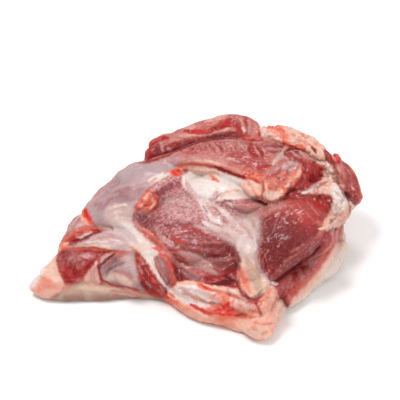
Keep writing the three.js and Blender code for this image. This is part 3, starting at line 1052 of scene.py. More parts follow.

# %% [markdown]
# The shank is a dark and coarse muscle, because it worked hard. The fat of the tip is pale, and dull
# where it dried.

# %% Paint the shank muscle and the tip
# Painted shade here: the darker beige along the bottom of the beige strip, which darkens towards its lower edge.
paint(f"""
tip pink, area, 2: 26,300 28,284 36,272 46,265 51,255 56,255 59,268 62,280 68,288 56,294 46,302
cream, 6, 3.5, 0.75: 52,260 50,270 56,282
white, 5, 3.5, 0.85: 32,286 36,276 43,269
orange fat, 3.5, 4, 0.6: 38,291 43,284 48,281 / 45,279 50,284 57,288
beige, area, 3: 50,302 58,294 64,288 76,284 88,279 93,283 99,284 106,284 114,286 126,288 140,291 152,294 163,298
    176,301 170,310 140,306 90,304 / 60,292 110,292 165,300
salmon, 4, 3.5, 0.4: 64,288 72,283 84,279
beige dark, 4, 5, 0.7: 66,299 84,300 104,300 122,299 140,301
cream, 2.6, 2.5, 0.6: 80,287 98,289 118,291 138,295
salmon, 1.6, 1.5, 0.6: 106,284 120,287 136,291 156,297 / 110,291 126,292 142,297
shank, area: {shank_face} / 60,274 78,262 104,254
rose, 4, 3, 0.6: 60,256 61,265 64,273 / 66,255 76,254 86,255
film pink, 1.4, 2.5, 0.2: 66,258 74,261 / 72,255 82,260 / 82,254 92,258 / 74,264 82,265
red, area, 3, 0.8: 63,268 72,265 84,264 93,260 100,257 98,263 92,268 86,273 78,277 70,281 64,277
blood dark, 3.2, 2, 0.9: 71,267 75,271 76,276 / 85,269 91,265 97,260 / 64,273 68,278 / 66,279 71,282
blood dark, 1.6, -, 0.8: 96,254 103,253 108,252
coarse pale, 1.2, 2, 0.25: 68,260 73,257 / 74,262 80,259 / 79,256 84,257 / 86,259 91,257 / 82,264 87,262 / 90,255
    94,254 / 77,268 82,267
film pink, area: 114,253 104,255 99,260 101,265 107,260
film white, 2, 2, 0.5: 111,254 105,257 102,262
tip pink, area, 1.6, 0.9: 97,261 92,267 87,273 84,279 90,284 99,286 100,279 98,270
film pink, 3, 2.5, 0.7: 95,268 92,276 96,282
""")

# %% [markdown]
# A lobe in thin film shows lilac beside the red of the strips, and white tissue bridges over to them.

# %% Paint the lilac lobe and the hanging strips
bridge = """100,227 112,227 121,222 131,224 139,231 147,239 156,246 160,252 158,260 150,262 144,258 137,253 127,251
            131,245 127,239 118,233 108,230"""
# Painted shade here: the dark strokes in the grooves along the lilac lobe's left edge and across its lower part, and
# in the deep groove beside the rose strip.
paint(f"""
lilac, area, 1.8: 100,267 105,261 111,256 118,252 128,251 137,253 139,268 140,280 144,290 130,288 115,285 106,282
    101,276 / 102,272 118,262 136,258
film pale, 6, 4, 0.9: 121,257 130,259 135,270 136,280
film blue, 3, 4, 0.8: 112,268 120,266 127,270
salmon, 3, 2.5, 0.7: 106,262 113,256 122,253 / 118,257 126,254
muscle plum, 1.7, -, 0.9: 99,269 101,265 107,259 114,254
film dark, 2.4, 1.6: 106,277 109,271 115,267 123,263 / 104,268 109,263
film white, 1.2, -, 0.7: 109,274 113,270 119,267
cream, 4.5, 4, 0.85: 107,280 114,277 122,279 130,283
salmon, 2, 3, 0.4: 118,272 126,274 132,280
blood dark, 1.5, -, 0.8: 98,265 99,272 102,279 107,282
red, 1.2, -, 0.75: 105,282 114,285 126,287 138,290
film white, area, 4: {bridge} / 100,226 130,232 156,254
white, area, 4.5, 0.75: {bridge}
film blue, 3, 4, 0.6: 118,227 127,233 136,242
cream, area, 3, 0.75: 132,245 142,243 152,248 154,256 144,256 136,252
salmon, 1.8, 2, 0.6: 116,252 126,252 136,251 / 130,247 136,250
red, area, 2: 135,252 141,254 147,262 153,271 160,280 168,288 176,296 164,299 150,295 144,288 140,280 137,268 / 138,256
    148,276 166,294
muscle dark, 4, 3, 0.5: 140,262 144,268 149,277
orange, 2.2, 2, 0.6: 137,252 139,257 141,262 / 158,290 166,295
blood dark, 3.4, 2.5, 0.75: 144,276 149,284 155,291 / 155,284 161,289 167,293
salmon, 1.2, -, 0.6: 145,268 150,275 / 152,278 156,284
film pink, 1, 1.4, 0.5: 141,258 144,264 / 139,266 142,274 / 146,282 151,288 / 160,286 164,292
white, area, 1.4: 141,253 152,251 155,256 156,266 161,276 168,286 178,291 170,291 161,283 153,272 146,261
cream, 2.4, 2, 0.6: 146,254 151,262 157,273
rose, area: 154,258 161,254 168,258 173,264 175,276 180,284 182,292 174,292 166,284 160,275 156,267 / 158,258 166,274
    176,290
lilac, 4, 4, 0.7: 158,258 161,266 166,276 171,285
film pink, 2, 3, 0.5: 158,261 163,272 168,281
brick, 3.2, 3, 0.85: 160,254 168,260 172,268 / 168,272 173,282 179,291
muscle, 2.2, 2, 0.6: 165,268 169,277 173,286
blood, 1.8, 2, 0.6: 172,262 174,268 / 176,282 179,286
muscle dark, 2.8, 3, 0.8: 176,263 178,270 180,277 181,282
muscle mid, 3.5, 2, 0.6: 184,274 190,279 198,282
""")

# %% [markdown]
# In the middle the muscle was cut across its fibres, so it is coarse: dark fibre ends with pale tissue
# between. Below it the layers run as thin dark and pale lines.

# %% Paint the middle
middle = """134,214 141,210 150,211 158,203 160,196 156,190 162,184 172,178 184,174 196,172 215,178 240,190 258,200
            262,214 246,215 236,222 230,236 215,239 200,238 185,240 172,238 160,232 147,231 137,223"""
# Painted shade here: the deep and dark strokes along the bottom of the pit, under the overhanging layers, and the dark
# stroke in the groove under the cream strand. The pit's crimson is partly the muscle's own dark red and partly painted
# shade.
paint(f"""
coarse, area, 1.8: {middle} / 150,222 200,214 250,212
coarse pale, area, 6, 0.8: 162,204 176,192 188,184 198,190 210,202 214,218 196,220 176,220 164,214
coarse pale, 3.5, 3, 0.8: 152,190 160,184 170,178 182,173
film white, 1.6, 1.6, 0.7: 157,204 166,201 178,201 192,206
muscle plum, 3, 3, 0.6: 157,196 164,190 172,185 / 160,206 163,199
muscle plum, area, 4, 0.6: 135,215 144,213 152,217 156,226 148,230 140,225
muscle dark, 2.2, 2, 0.6: 166,226 178,224 192,226
muscle, 5, 4, 0.85: 172,232 186,230 202,232 218,236
red, 2.5, 3.5, 0.25: 168,228 172,231 / 183,222 188,228 / 196,212 200,218
muscle brown, area, 2.5: 162,236 176,238 192,239 208,239 224,238 234,243 239,254 242,263 232,268 219,272 204,268
    190,262 178,255 168,246 / 160,238 190,250 240,256
muscle dark, 2.4, 3, 0.55: 182,250 198,253 216,255 234,254 / 192,244 210,246 228,246 / 204,262 220,265 236,262
muscle pink, 1.4, 1.6, 0.5: 188,247 204,249 220,250 / 206,258 220,260 234,258 / 180,241 200,242 222,242
blood, 3.2, 3, 0.5: 170,239 176,240 183,242
crimson, area, 2.5: {dark_pocket} / 196,268 220,278 242,284
muscle mid, 4, 3, 0.8: 226,268 234,266 240,270
deep, 4, 3, 0.9: 214,284 224,283 236,281 / 226,276 233,280
blood dark, 2.4, 2, 0.7: 206,276 214,276 224,277 / 232,272 238,268
brick, 4.4, 2.2, 0.9: 136,225 143,231 152,238 161,246 171,255 176,260
salmon, 2.2, 2, 0.8: 140,227 149,234 158,241 167,249
film pink, 2.4, 2, 0.8: 134,218 136,224 141,230
film pink, 3, 3, 0.75: 157,228 160,236 165,243 172,249 180,254
rose, 4, 1.6, 0.9: 166,246 174,248 182,251 / 171,251 180,254 188,257 / 176,257 186,260 194,263
muscle mid, 1.1, -, 0.8: 167,249 176,251 186,254 / 173,254 182,257 192,261 / 164,244 172,245 180,247
muscle pink, 3, 2, 0.8: 182,264 192,269 203,274
muscle pink, area, 4, 0.35: 176,250 192,252 206,258 218,267 221,275 206,276 190,269 178,260
muscle, 4, 4, 0.5: 206,249 218,251 230,252
film white, 1.4, 2.4, 0.65: 180,252 192,255 203,260 212,267 / 190,264 203,268 217,274
film pink, 3, 3, 0.6: 184,255 198,262 212,270
film pink, 2.6, 3, 0.6: 168,253 176,262 186,270 198,277
lilac, 3.6, 3.5, 0.55: 183,271 192,277 202,281
muscle dark, 1.3, 1.6, 0.4: 178,266 188,273 200,279
blood, 3.2, 1.8, 0.85: 153,248 157,249 160,252
salmon, area, 2.5, 0.8: 134,208 139,200 146,191 154,194 160,204 155,212 148,214 141,212
orange, 2.8, 1.4, 0.85: 136,209 140,204 / 143,203 146,196 149,192
orange fat, 2.2, 1.4: 145,201 149,196 / 145,208 149,207 / 150,203 152,199
blood, 1.4: 144,205 149,206 152,203 / 141,206 142,202 / 148,199 150,201
red, 1.8, -, 0.6: 153,195 157,200 157,206 152,211
peach, 1.4, 1.6, 0.8: 144,198 148,194 / 140,206 143,204 / 151,207 154,204
tip pink, 1.3: 153,199 154,203 / 150,193 151,195
""")

# %% [markdown]
# Where the bone was pulled out, loose white fat is left in a soft heap, with pink flesh between its strands.

# %% Paint the white fat in the middle
# Painted shade here: the deep seam and the short dark stroke under the lower edges of the tan flap and the sheet's
# flap tip.
paint("""
white, area, 2: 181,180 187,172 197,168 208,168 220,171 232,176 242,180 250,185 256,192 256,199 246,199 236,200 226,200
    216,202 208,206 201,202 194,197 187,190
milky, area, 4: 204,178 222,176 238,180 249,187 248,194 236,193 220,192 206,188
cream, 3, 2.5, 0.6: 222,198 228,194 240,194 251,196
orange fat, 3.2, 1.6: 206,174 212,177 218,181
blood, 1.6, -, 0.6: 208,174 211,177 / 212,179 214,180
salmon, 2.6, 2, 0.7: 194,171 201,171 207,171
salmon, 1.2, 1.6, 0.45: 221,197 227,191 238,191
coarse pale, 3, 3, 0.7: 186,182 190,190 196,198 / 211,199 216,194 218,190
coarse pale, area, 5, 0.8: 198,200 214,203 232,204 248,206 246,216 236,226 220,228 206,222
white, 2.4, 2.5, 0.8: 200,202 206,210 212,218 222,224 / 216,208 226,214 234,222 / 204,222 214,228 226,231 236,232
film white, 1.8, 1.8, 0.8: 226,203 236,207 246,213 / 208,204 218,208 / 214,216 224,219 / 238,218 246,222 / 196,226
    206,229
muscle, 1.4, -, 0.65: 203,206 208,213 / 212,207 220,212 / 222,218 230,226 / 232,206 242,210 / 214,200 218,196 222,192
tip pink, area, 2.5, 0.9: 240,184 246,180 252,179 262,183 266,190 266,197 256,199 246,196
peach, 3, 3, 0.8: 250,186 255,191 260,196
salmon, 1.2, 1.6, 0.6: 248,182 253,190 257,198
cream, 2.6, 1.8, 0.9: 252,181 260,185 264,191
deep, 1.3, -, 0.5: 246,201 254,199 262,199 267,201 277,202 283,197
blood dark, 1.8, -, 0.6: 256,196 262,198
""")

# %% [markdown]
# The folded sheet shows its fibres cut slantwise, as short pale and dark strokes side by side, and its
# edge is a rope of fat.

# %% Paint the sheet
paint("""
muscle pink, area: 148,161 165,156 178,151 190,146 200,141 215,138 243,139 262,141 276,142 286,146 290,154 300,163
    303,170 296,182 286,190 274,190 264,184 250,179 240,176 228,171 216,168 200,165 184,164 166,162 / 150,162 190,155
    250,158 285,162
marbled, area, 2.5: 178,152 190,147 203,142 216,139 245,140 262,142 266,150 250,152 228,151 206,151 186,155
""")
for x in range(196, 262, 5):
    bend = 2.0 * math.sin(x * 0.9)
    streaks("film pink", 0.9, [(x - 4, 143), (x + 1, 146 + bend * 0.3), (x + 4, 151 + bend * 0.5)], strength=0.9)
    streaks("blood dark", 1.0, [(x - 2, 143 + bend), (x + 2, 148 + bend)], strength=0.5)
# Painted shade here: the dark strokes in the grooves of the dark hollow and the folds along the top, and the dark line
# under the sheet's lower edge.
paint("""
film pink, 1.8, 1.6, 0.9: 152,160 165,156 180,151 193,145 206,141 224,139 242,140 262,142
blood dark, 1.8, -, 0.6: 180,150 182,152 / 217,144 221,148 223,152 / 190,147 193,149
muscle, area, 4, 0.8: 228,153 244,152 258,157 266,163 262,172 248,167 232,161
red, 2.2, 2.5, 0.45: 232,155 244,157 256,161 / 244,163 254,167 264,170
brick, 2.6, 2.5, 0.75: 200,164 214,164 226,168 238,173 248,176
orange fat, 2.2, 1.8, 0.8: 243,173 249,173 / 253,174 259,175
salmon, 2.4, 2, 0.6: 240,168 246,169 / 251,168 256,170
blood, 1.2, 1.4, 0.7: 240,172 248,175 255,176
muscle pink, 1.2, -, 0.6: 234,158 246,161 256,165 / 246,155 254,160
film pink, area, 3.5, 0.75: 148,162 164,158 182,155 200,155 216,157 228,161 222,165 204,162 184,162 164,164
film, 2.5, 3, 0.7: 152,164 164,161 178,159
tip pink, 2.2, 2.5, 0.6: 184,163 200,162 216,164 230,169 242,174
muscle, 3.4, 3, 0.7: 263,145 265,151 268,158
crimson, area, 2.5, 0.9: 247,143 256,144 261,149 262,157 255,157 249,150
blood dark, 2.2, -, 0.9: 251,143 249,148 252,153 258,157 / 256,147 261,152 263,158
blood dark, 1.4, -, 0.6: 213,142 218,146 222,152 / 208,143 213,148 216,153 / 272,144 276,148 281,146 284,149 / 287,151
    291,157 / 293,149 298,155
film pink, 1.6, 1.6, 0.6: 210,142 216,147 219,153 / 226,142 232,147 / 238,142 244,147 / 284,153 288,159 / 296,152
    302,159
film pink, 1.2, -, 0.9: 247,145 246,150 / 254,146 257,151 260,156 / 262,147 265,153
muscle dark, 1.8, -, 0.8: 266,146 274,146 282,147 / 268,151 275,152 281,151
film pink, 1, -, 0.8: 268,148 272,149 / 276,149 280,148 / 264,157 268,162
film white, 3.2, 2.2, 0.85: 288,146 283,153 278,159 272,164
film blue, 1.6, -, 0.7: 285,151 280,158
rose, area, 2.5: 262,164 272,165 284,160 296,161 303,167 300,176 292,184 282,187 272,186 264,176 / 262,176 278,168
    300,160
film pink, 5, 4, 0.6: 268,172 278,170 290,168
film blue, 3.4, 3.5, 0.75: 280,170 288,166 297,164
orange fat, 1.6, 1.8, 0.7: 279,176 284,173 / 290,174 294,171 / 271,176 275,179
orange fat, 2.5, 2.5, 0.7: 268,180 275,183 283,181 292,177 / 264,176 266,186
film white, 1.6, 2, 0.7: 281,168 286,164 292,162 / 289,171 295,168
rose, 1.2, 1.6, 0.6: 283,170 288,168 294,166 / 286,162 288,166
red, 2, -, 0.8: 256,170 264,167 271,165 / 271,177 277,174 281,168 / 280,181 286,177
muscle dark, 1.4, -, 0.6: 278,178 284,180 289,176 / 285,170 290,172
salmon, 2, -, 0.5: 244,167 249,165 254,168 / 246,172 252,169 258,172
blood dark, 1, -, 0.6: 243,169 248,166 254,170 / 246,173 252,171
salmon, 2.4, 2.5, 0.5: 190,163 204,163 218,166 234,171
tip pink, 1.2, 2, 0.7: 196,162 208,162 220,165
orange, 1, 1.4, 0.75: 184,165 197,164 209,165 217,167
peach, 3.4, 2: 190,170 200,171 210,172 218,174
milky, 2, 2.5, 0.35: 194,171 204,172 214,174
peach, 2, 2, 0.7: 192,173 200,174 208,175
white, 3, 2.4: 195,175 203,177 210,178
blood dark, 2.2: 215,167 224,170 233,174 243,177 250,178
tip pink, 2, 1.6, 0.7: 184,168 196,167 208,168
orange fat, 4, 2: 176,170 181,167 187,165
orange, area, 1.6: 170,171 174,169 180,169 181,173 176,177 171,175
blood, 1.8: 173,172 176,175 / 177,171 179,170
orange, 3.2, 1.6: 247,177 252,178 257,177 263,175
orange fat, 1.8: 250,176 254,176 / 258,178 262,177
blood, 1.8, -, 0.9: 254,180 259,182 264,183 / 252,175 254,173
salmon, area, 2.5, 0.7: 262,176 270,180 280,180 290,174 301,164 302,174 295,183 286,190 276,198 264,196 261,186
orange fat, area, 1.8, 0.9: 262,178 268,184 272,190 279,187 288,181 296,172 302,165 302,175 296,183 288,190 282,197
    275,201 267,200 262,193
cream, area, 1.6: 263,193 268,191 276,192 283,190 281,197 275,202 267,201
tip pink, 2, 1.6: 300,169 297,176 / 291,182 286,187 / 265,184 267,190
red, 1, 1.4, 0.7: 263,180 263,188 262,196
orange, 1.5, 1.5, 0.7: 294,180 290,184 / 268,184 270,188 / 282,187 285,189
""")

# %% [markdown]
# The roll along the back is lean. Its lower band is painted pink along its top and darker red down to plum at its
# bottom, as painted light and shade on a rounded band. The pale pink strokes on its upper lip and its left end are
# painted highlights, and the dark strokes under its left end are painted shade.

# %% Paint the roll
paint("""
muscle, area: 146,162 145,150 148,142 156,136 170,134 190,127 210,119 228,112 242,110 252,118 264,122 264,139 242,140
    215,138 200,142 178,151 165,157 / 148,152 190,134 256,122
muscle pink, 6, 3: 168,136 184,129 200,122 214,117 228,112 242,111 252,117
muscle pink, 3.5, 2.5, 0.9: 180,134 198,127 214,121 228,116
tip pink, 2, 2.5, 0.6: 206,121 216,118 226,114 / 184,130 194,126
tip pink, 2.6, 1.6: 157,136 161,134 166,134
cream, 1.4, -, 0.8: 159,134 163,133
muscle pink, 6, 2.5: 164,141 178,138 196,135 214,133 236,129
tip pink, 1.8, 2.5, 0.6: 180,136 196,134 212,132 228,129
muscle, 3.5, 2.5, 0.85: 162,148 178,144 198,140 218,137 236,135
muscle mid, 2, 2, 0.9: 166,152 180,148 194,143 210,139 226,137
muscle plum, 2.4, 3, 0.8: 208,138 220,136 232,134 240,135
red, 3, 2.5: 150,147 153,141 160,139 168,138 / 148,153 150,148
brick, 2, 2, 0.9: 147,146 152,141 160,138 / 146,152 147,147
muscle dark, 4, 3, 0.5: 156,149 162,148 / 152,155 158,153
blood dark, 2.2, 1.6, 0.8: 149,158 153,156 / 150,153 151,155
coarse pale, 2, 1.6, 0.7: 161,147 163,151 / 168,148 171,150 / 160,143 162,145
crimson, 3, 1.6: 184,131 196,132 208,132 216,128
crimson, area, 1.6: 212,131 217,127 224,121 232,118 237,120 234,125 226,128 219,131
blood, 2, 1.5, 0.6: 190,131 200,132 209,131 / 220,125 227,121 233,120
salmon, 1.8, 1.6, 0.7: 207,128 213,125 219,122
muscle pink, area, 2: 238,113 250,118 264,123 262,138 250,139 244,133 240,124
muscle, area, 3, 0.8: 235,118 241,116 247,122 249,136 240,137 237,128
film pink, area, 3, 0.45: 232,116 238,114 241,118 240,123 235,124 232,122
crimson, 3, 2.5, 0.7: 234,120 238,128 243,135
tip pink, 1.4, 2, 0.6: 241,119 243,125 245,131
red, 2, 1.8, 0.8: 240,123 240,129 243,134 / 246,118 247,122
white, 1.4, 1.4, 0.7: 243,127 244,131
film pink, 2, -, 0.8: 248,120 250,128 249,134 / 256,124 256,132
red, 1.6: 262,124 260,131 258,138 / 243,139 252,140 261,140
orange, 2, -, 0.7: 246,138 250,139 / 255,138 258,139
""")

# %% [markdown]
# The rim is soft fat, orange where blood dried in it. Behind it lies the cut face, the reddest place of all.

# %% Paint the rim and the thick end
rim = """262,121 275,122 288,127 300,130 320,142 328,147 325,156 326,166 318,163 310,158 303,151 293,147 283,144
         270,141 262,138"""
# Painted shade here: the deep strokes in the grooves behind the rim and in the cut face's lower corner, the dark
# stroke in the groove at 312,147, the dark film and beige strokes round the lower edges of the big fat lump and the
# darker beige in the slit beside it. Painted highlights: the pink strokes down the thick end's left side and the pale
# dot at 352,187.
paint(f"""
peach, area: {rim}
orange fat, area, 3, 0.75: 264,126 274,123 286,128 292,136 286,140 276,137 266,134
cream, area, 4, 0.8: 290,129 302,132 318,142 324,152 314,156 302,148 292,140
cream, 3, 2.5, 0.8: 286,130 298,135 312,143 / 292,140 302,143 312,149 / 264,127 264,134
orange, 3.4, 2, 0.9: 268,127 275,128 284,132 / 281,137 285,142 288,146
orange fat, 3.4, 2, 0.9: 272,131 280,134 288,136 / 286,140 290,145 / 298,144 304,147
blood, 1.6, -, 0.6: 270,127 273,128 / 278,129 281,130 / 282,141 284,143
salmon, 1.6, 1.6, 0.7: 292,134 295,135 / 301,134 304,136 / 306,142 310,145 / 268,138 276,140 / 296,140 300,141
film blue, 3, 1.6, 0.8: 265,134 267,137 271,138
white, 1.6: 268,134 271,135 / 264,130 266,131 / 277,138 282,140
orange, 1.7, -, 0.9: 287,146 294,146 302,147 306,151
muscle, area: 284,150 292,149 303,150 312,159 316,163 306,164 296,161 286,159 / 284,156 300,154 316,163
film pink, 1.2: 286,153 291,151 295,154 / 292,158 296,155 301,158 / 302,154 307,159 / 298,150 304,153 / 285,157 289,159
deep, 1.3, -, 0.7: 292,156 295,158 / 287,151 289,154 / 299,153 303,157
red, 1.8, -, 0.9: 302,151 309,156 316,161
blood dark, 1.8: 312,147 315,151 316,153
tip pink, 2.6, 2.5, 0.65: 300,153 308,157 315,161
salmon, 2, 2, 0.5: 304,158 312,161
cream, 2.6, 1.6: 312,154 317,158 323,164
crimson, area: {cut_face} / 320,166 308,178 292,192
brick, 3, 4, 0.35: 308,165 314,168 316,174
red, 3.4, 3, 0.5: 304,168 304,178 298,186
muscle dark, 3, 3, 0.4: 305,167 306,177 302,184
red, 4, 3, 0.6: 316,166 320,171 318,178
muscle dark, 4, 4, 0.4: 301,184 304,188 / 295,189 302,189
deep, 2.6, 2, 0.9: 289,193 293,190 297,190
salmon, 1.5, -, 0.7: 302,165 304,170 / 307,162 312,162 / 303,174 305,178
tip pink, area, 1.5: 322,160 328,163 334,171 336,182 341,188 349,202 348,217 340,225 331,229 324,226 328,213 332,200
    322,195 308,196 302,193 312,187 321,180 326,170
white, 3, 1.8, 0.85: 328,165 330,170 / 330,175 332,180 / 332,184 338,188
cream, 3, 2, 0.9: 324,172 326,180 / 322,188 332,192
film blue, 2.4, 1.6, 0.9: 309,190 314,186 320,183
red, 1.8, 1.5, 0.7: 318,187 322,184 327,182 / 333,178 334,181
pale grey fat, 2: 301,194 308,192 314,190
white, area, 2.5: 331,188 337,186 343,192 346,202 343,212 335,214 330,207 332,198
pale grey fat, area, 2.5, 0.85: 331,201 337,199 343,203 341,212 334,214 330,208
film dark, 1.6, 2, 0.5: 331,199 328,206 330,214 / 344,197 341,203
beige, 2, 2.5, 0.5: 334,206 340,209 / 342,213 336,216
beige, 1.8, -, 0.6: 336,193 340,197 / 333,215 341,214
muscle, area: 325,160 325,148 332,151 337,156 342,153 347,163 354,167 360,178 364,192 363,204 354,208 349,203 342,192
    337,184 336,171 331,163 / 330,152 346,176 356,204
crimson, 3.4, 2, 0.8: 328,150 332,156 336,163
brick, 2, 3, 0.7: 344,160 350,166 356,174
muscle bright, 6, 4, 0.7: 334,160 342,172 350,186
muscle pink, 6, 4: 340,166 346,173 350,183
rose, 3, 2.5, 0.8: 338,176 341,183 345,188
tip pink, 2.8, 2.5, 0.6: 332,166 335,173 338,181 343,187
salmon, 2, 2.5, 0.4: 340,170 344,177
muscle mid, 2, 2.5, 0.7: 346,166 349,178 347,188
orange, 1.3, -, 0.6: 350,167 355,173 359,183 361,194 360,203
blood, 2.2, 1.6: 335,160 338,157 341,155 / 338,163 341,160
orange, 1.4, -, 0.8: 337,156 341,152 343,158
blood dark, 1.6: 338,161 339,164
muscle brown, 4, 3, 0.9: 346,191 351,197 356,203
beige dark, 1.7, -, 0.9: 341,188 344,193 348,199
tip pink, 1.4, -, 0.8: 352,187 354,190 / 332,154 334,158
salmon, 1.8, -, 0.8: 350,206 356,206 360,202
cream, 3.4, 1.6: 350,203 353,209 352,216
tip pink, 1.6, -, 0.9: 351,206 352,209 / 350,214 352,218
""")

# %% [markdown]
# The smooth muscle was cut along its fibres, so it is even in colour, with fine pale streaks along one
# line. Glints of its wet surface are painted on as fine pale broken lines. The slab below it has a pale edge of fat.

# %% Paint the smooth muscle, the slab and the outer fat
# The pink film strokes along the muscle's top edge under the flap are partly a pale film and partly a painted sheen.
paint("""
pale grey fat, area, 2.5: 340,221 352,217 354,256 338,276 305,302 284,312 282,306 297,294 313,277 323,262 332,247
    340,232
cream, 3, 3, 0.5: 347,226 348,240 346,256 / 330,262 320,276 306,292
muscle, area, 1.8: 271,287 285,276 300,264 313,256 322,246 327,233 343,219 346,222 343,234 336,246 327,259 318,272
    303,289 285,309 279,303 274,294 / 276,300 308,268 342,226
muscle mid, area, 4, 0.85: 292,278 298,266 310,257 320,251 323,256 316,268 306,277
muscle bright, 4, 4, 0.6: 280,296 288,286 298,278 / 328,248 336,236 342,226
muscle pink, 2, 2.5, 0.5: 294,264 300,272 303,280 / 284,288 294,284
brick, 5, 4, 0.6: 341,226 334,243 325,257 315,271 301,287 288,301
tip pink, 2.4, 3.5, 0.7: 346,226 340,243 331,257 321,272 307,288 292,303
muscle mid, area: 258,201 270,201 285,197 300,194 318,194 331,196 332,204 328,213 323,221 327,228 322,240 316,249
    304,257 290,267 279,277 271,285 263,277 258,266 257,250 259,234 262,218 / 268,272 292,250 322,216
muscle bright, area, 6: 276,206 292,199 312,196 330,197 329,208 321,222 308,226 294,218
muscle dark, area, 7, 0.75: 263,224 276,222 292,228 306,236 296,252 278,264 266,258 261,242
muscle pink, area, 4: 236,202 258,201 284,201 294,204 276,211 263,216 244,214
film pink, area, 5, 0.6: 238,203 250,203 264,205 262,214 248,216 238,211
film pink, 1.8, 2, 0.7: 262,204 272,205 282,204 / 270,209 280,207
muscle pink, 1.8, 1.8, 0.65: 276,272 290,262 303,253 314,244 323,233 / 284,262 298,252 312,242 323,231 / 292,252
    304,245 315,236 325,228
muscle dark, 1.8, 1.8, 0.7: 282,268 296,258 309,248 319,238 / 288,257 301,249 314,239 / 296,246 308,240 318,232
muscle brown, 3.4, 2.5, 0.6: 273,276 288,265 303,255
muscle bright, 3, 3, 0.5: 290,204 300,214 312,222 / 300,200 312,212 318,220
muscle pink, 1, -, 0.5: 288,203 296,212 303,220 / 296,202 306,213 314,221 / 306,200 314,210 320,216 / 312,224 318,222
    322,226
muscle dark, 3, 3, 0.5: 271,264 274,270
salmon, 3, 2.5, 0.7: 318,222 323,226 320,232
""")
# Painted highlights here: the shreds marks and thin pink dashes on the upper muscle are glints of its wet surface, and
# the orange dot at 314,199 is a glint. Painted shade: the deep strokes in the crease under the fold and in the groove
# at the corner, and the plum strokes in the groove at 326,232.
paint("""
shreds, mark, 4: 264,226 268,212 280,207 294,208 302,218 296,230 284,238 272,242
shreds, mark, 4, 0.7: 258,244 268,236 280,242 276,258 268,272 258,266
shreds, mark, 3, 0.6: 292,256 306,246 318,238 325,229 318,246 304,258
film pink, 0.6, 1.1, 0.5: 261,264 264,257 268,250 / 273,231 276,222 279,214 / 284,222 286,216 290,210
red, 3, 2: 314,203 320,206 326,203
orange fat, 1.4, -, 0.8: 314,199 316,200
tip pink, area, 1.6, 0.85: 323,222 330,216 340,213 348,212 347,220 338,226 331,230 326,231
cream, 1.5: 326,227 334,221 345,215 / 330,230 338,226 345,221 / 318,229 326,227
muscle plum, 1.6, -, 0.7: 327,233 331,230 337,227 / 329,224 334,219
deep, 1.8, 1.5, 0.9: 270,286 280,278 292,269 304,260 313,254 320,246
deep, 1.6, -, 0.9: 275,289 282,300 288,307
white, 2.6, 1.4: 272,283 277,284
pale grey fat, 1.6: 269,286 274,287
""")

# %% [markdown]
# The flap is limp fat with a milky film on its upper part, and the front folds are peach-coloured fat
# with blood run into their creases.

# %% Paint the cream flap, the corner and the front folds
nub = "259,305 262,297 266,292 272,287 277,291 278,298 273,304 268,312 262,315 258,310"
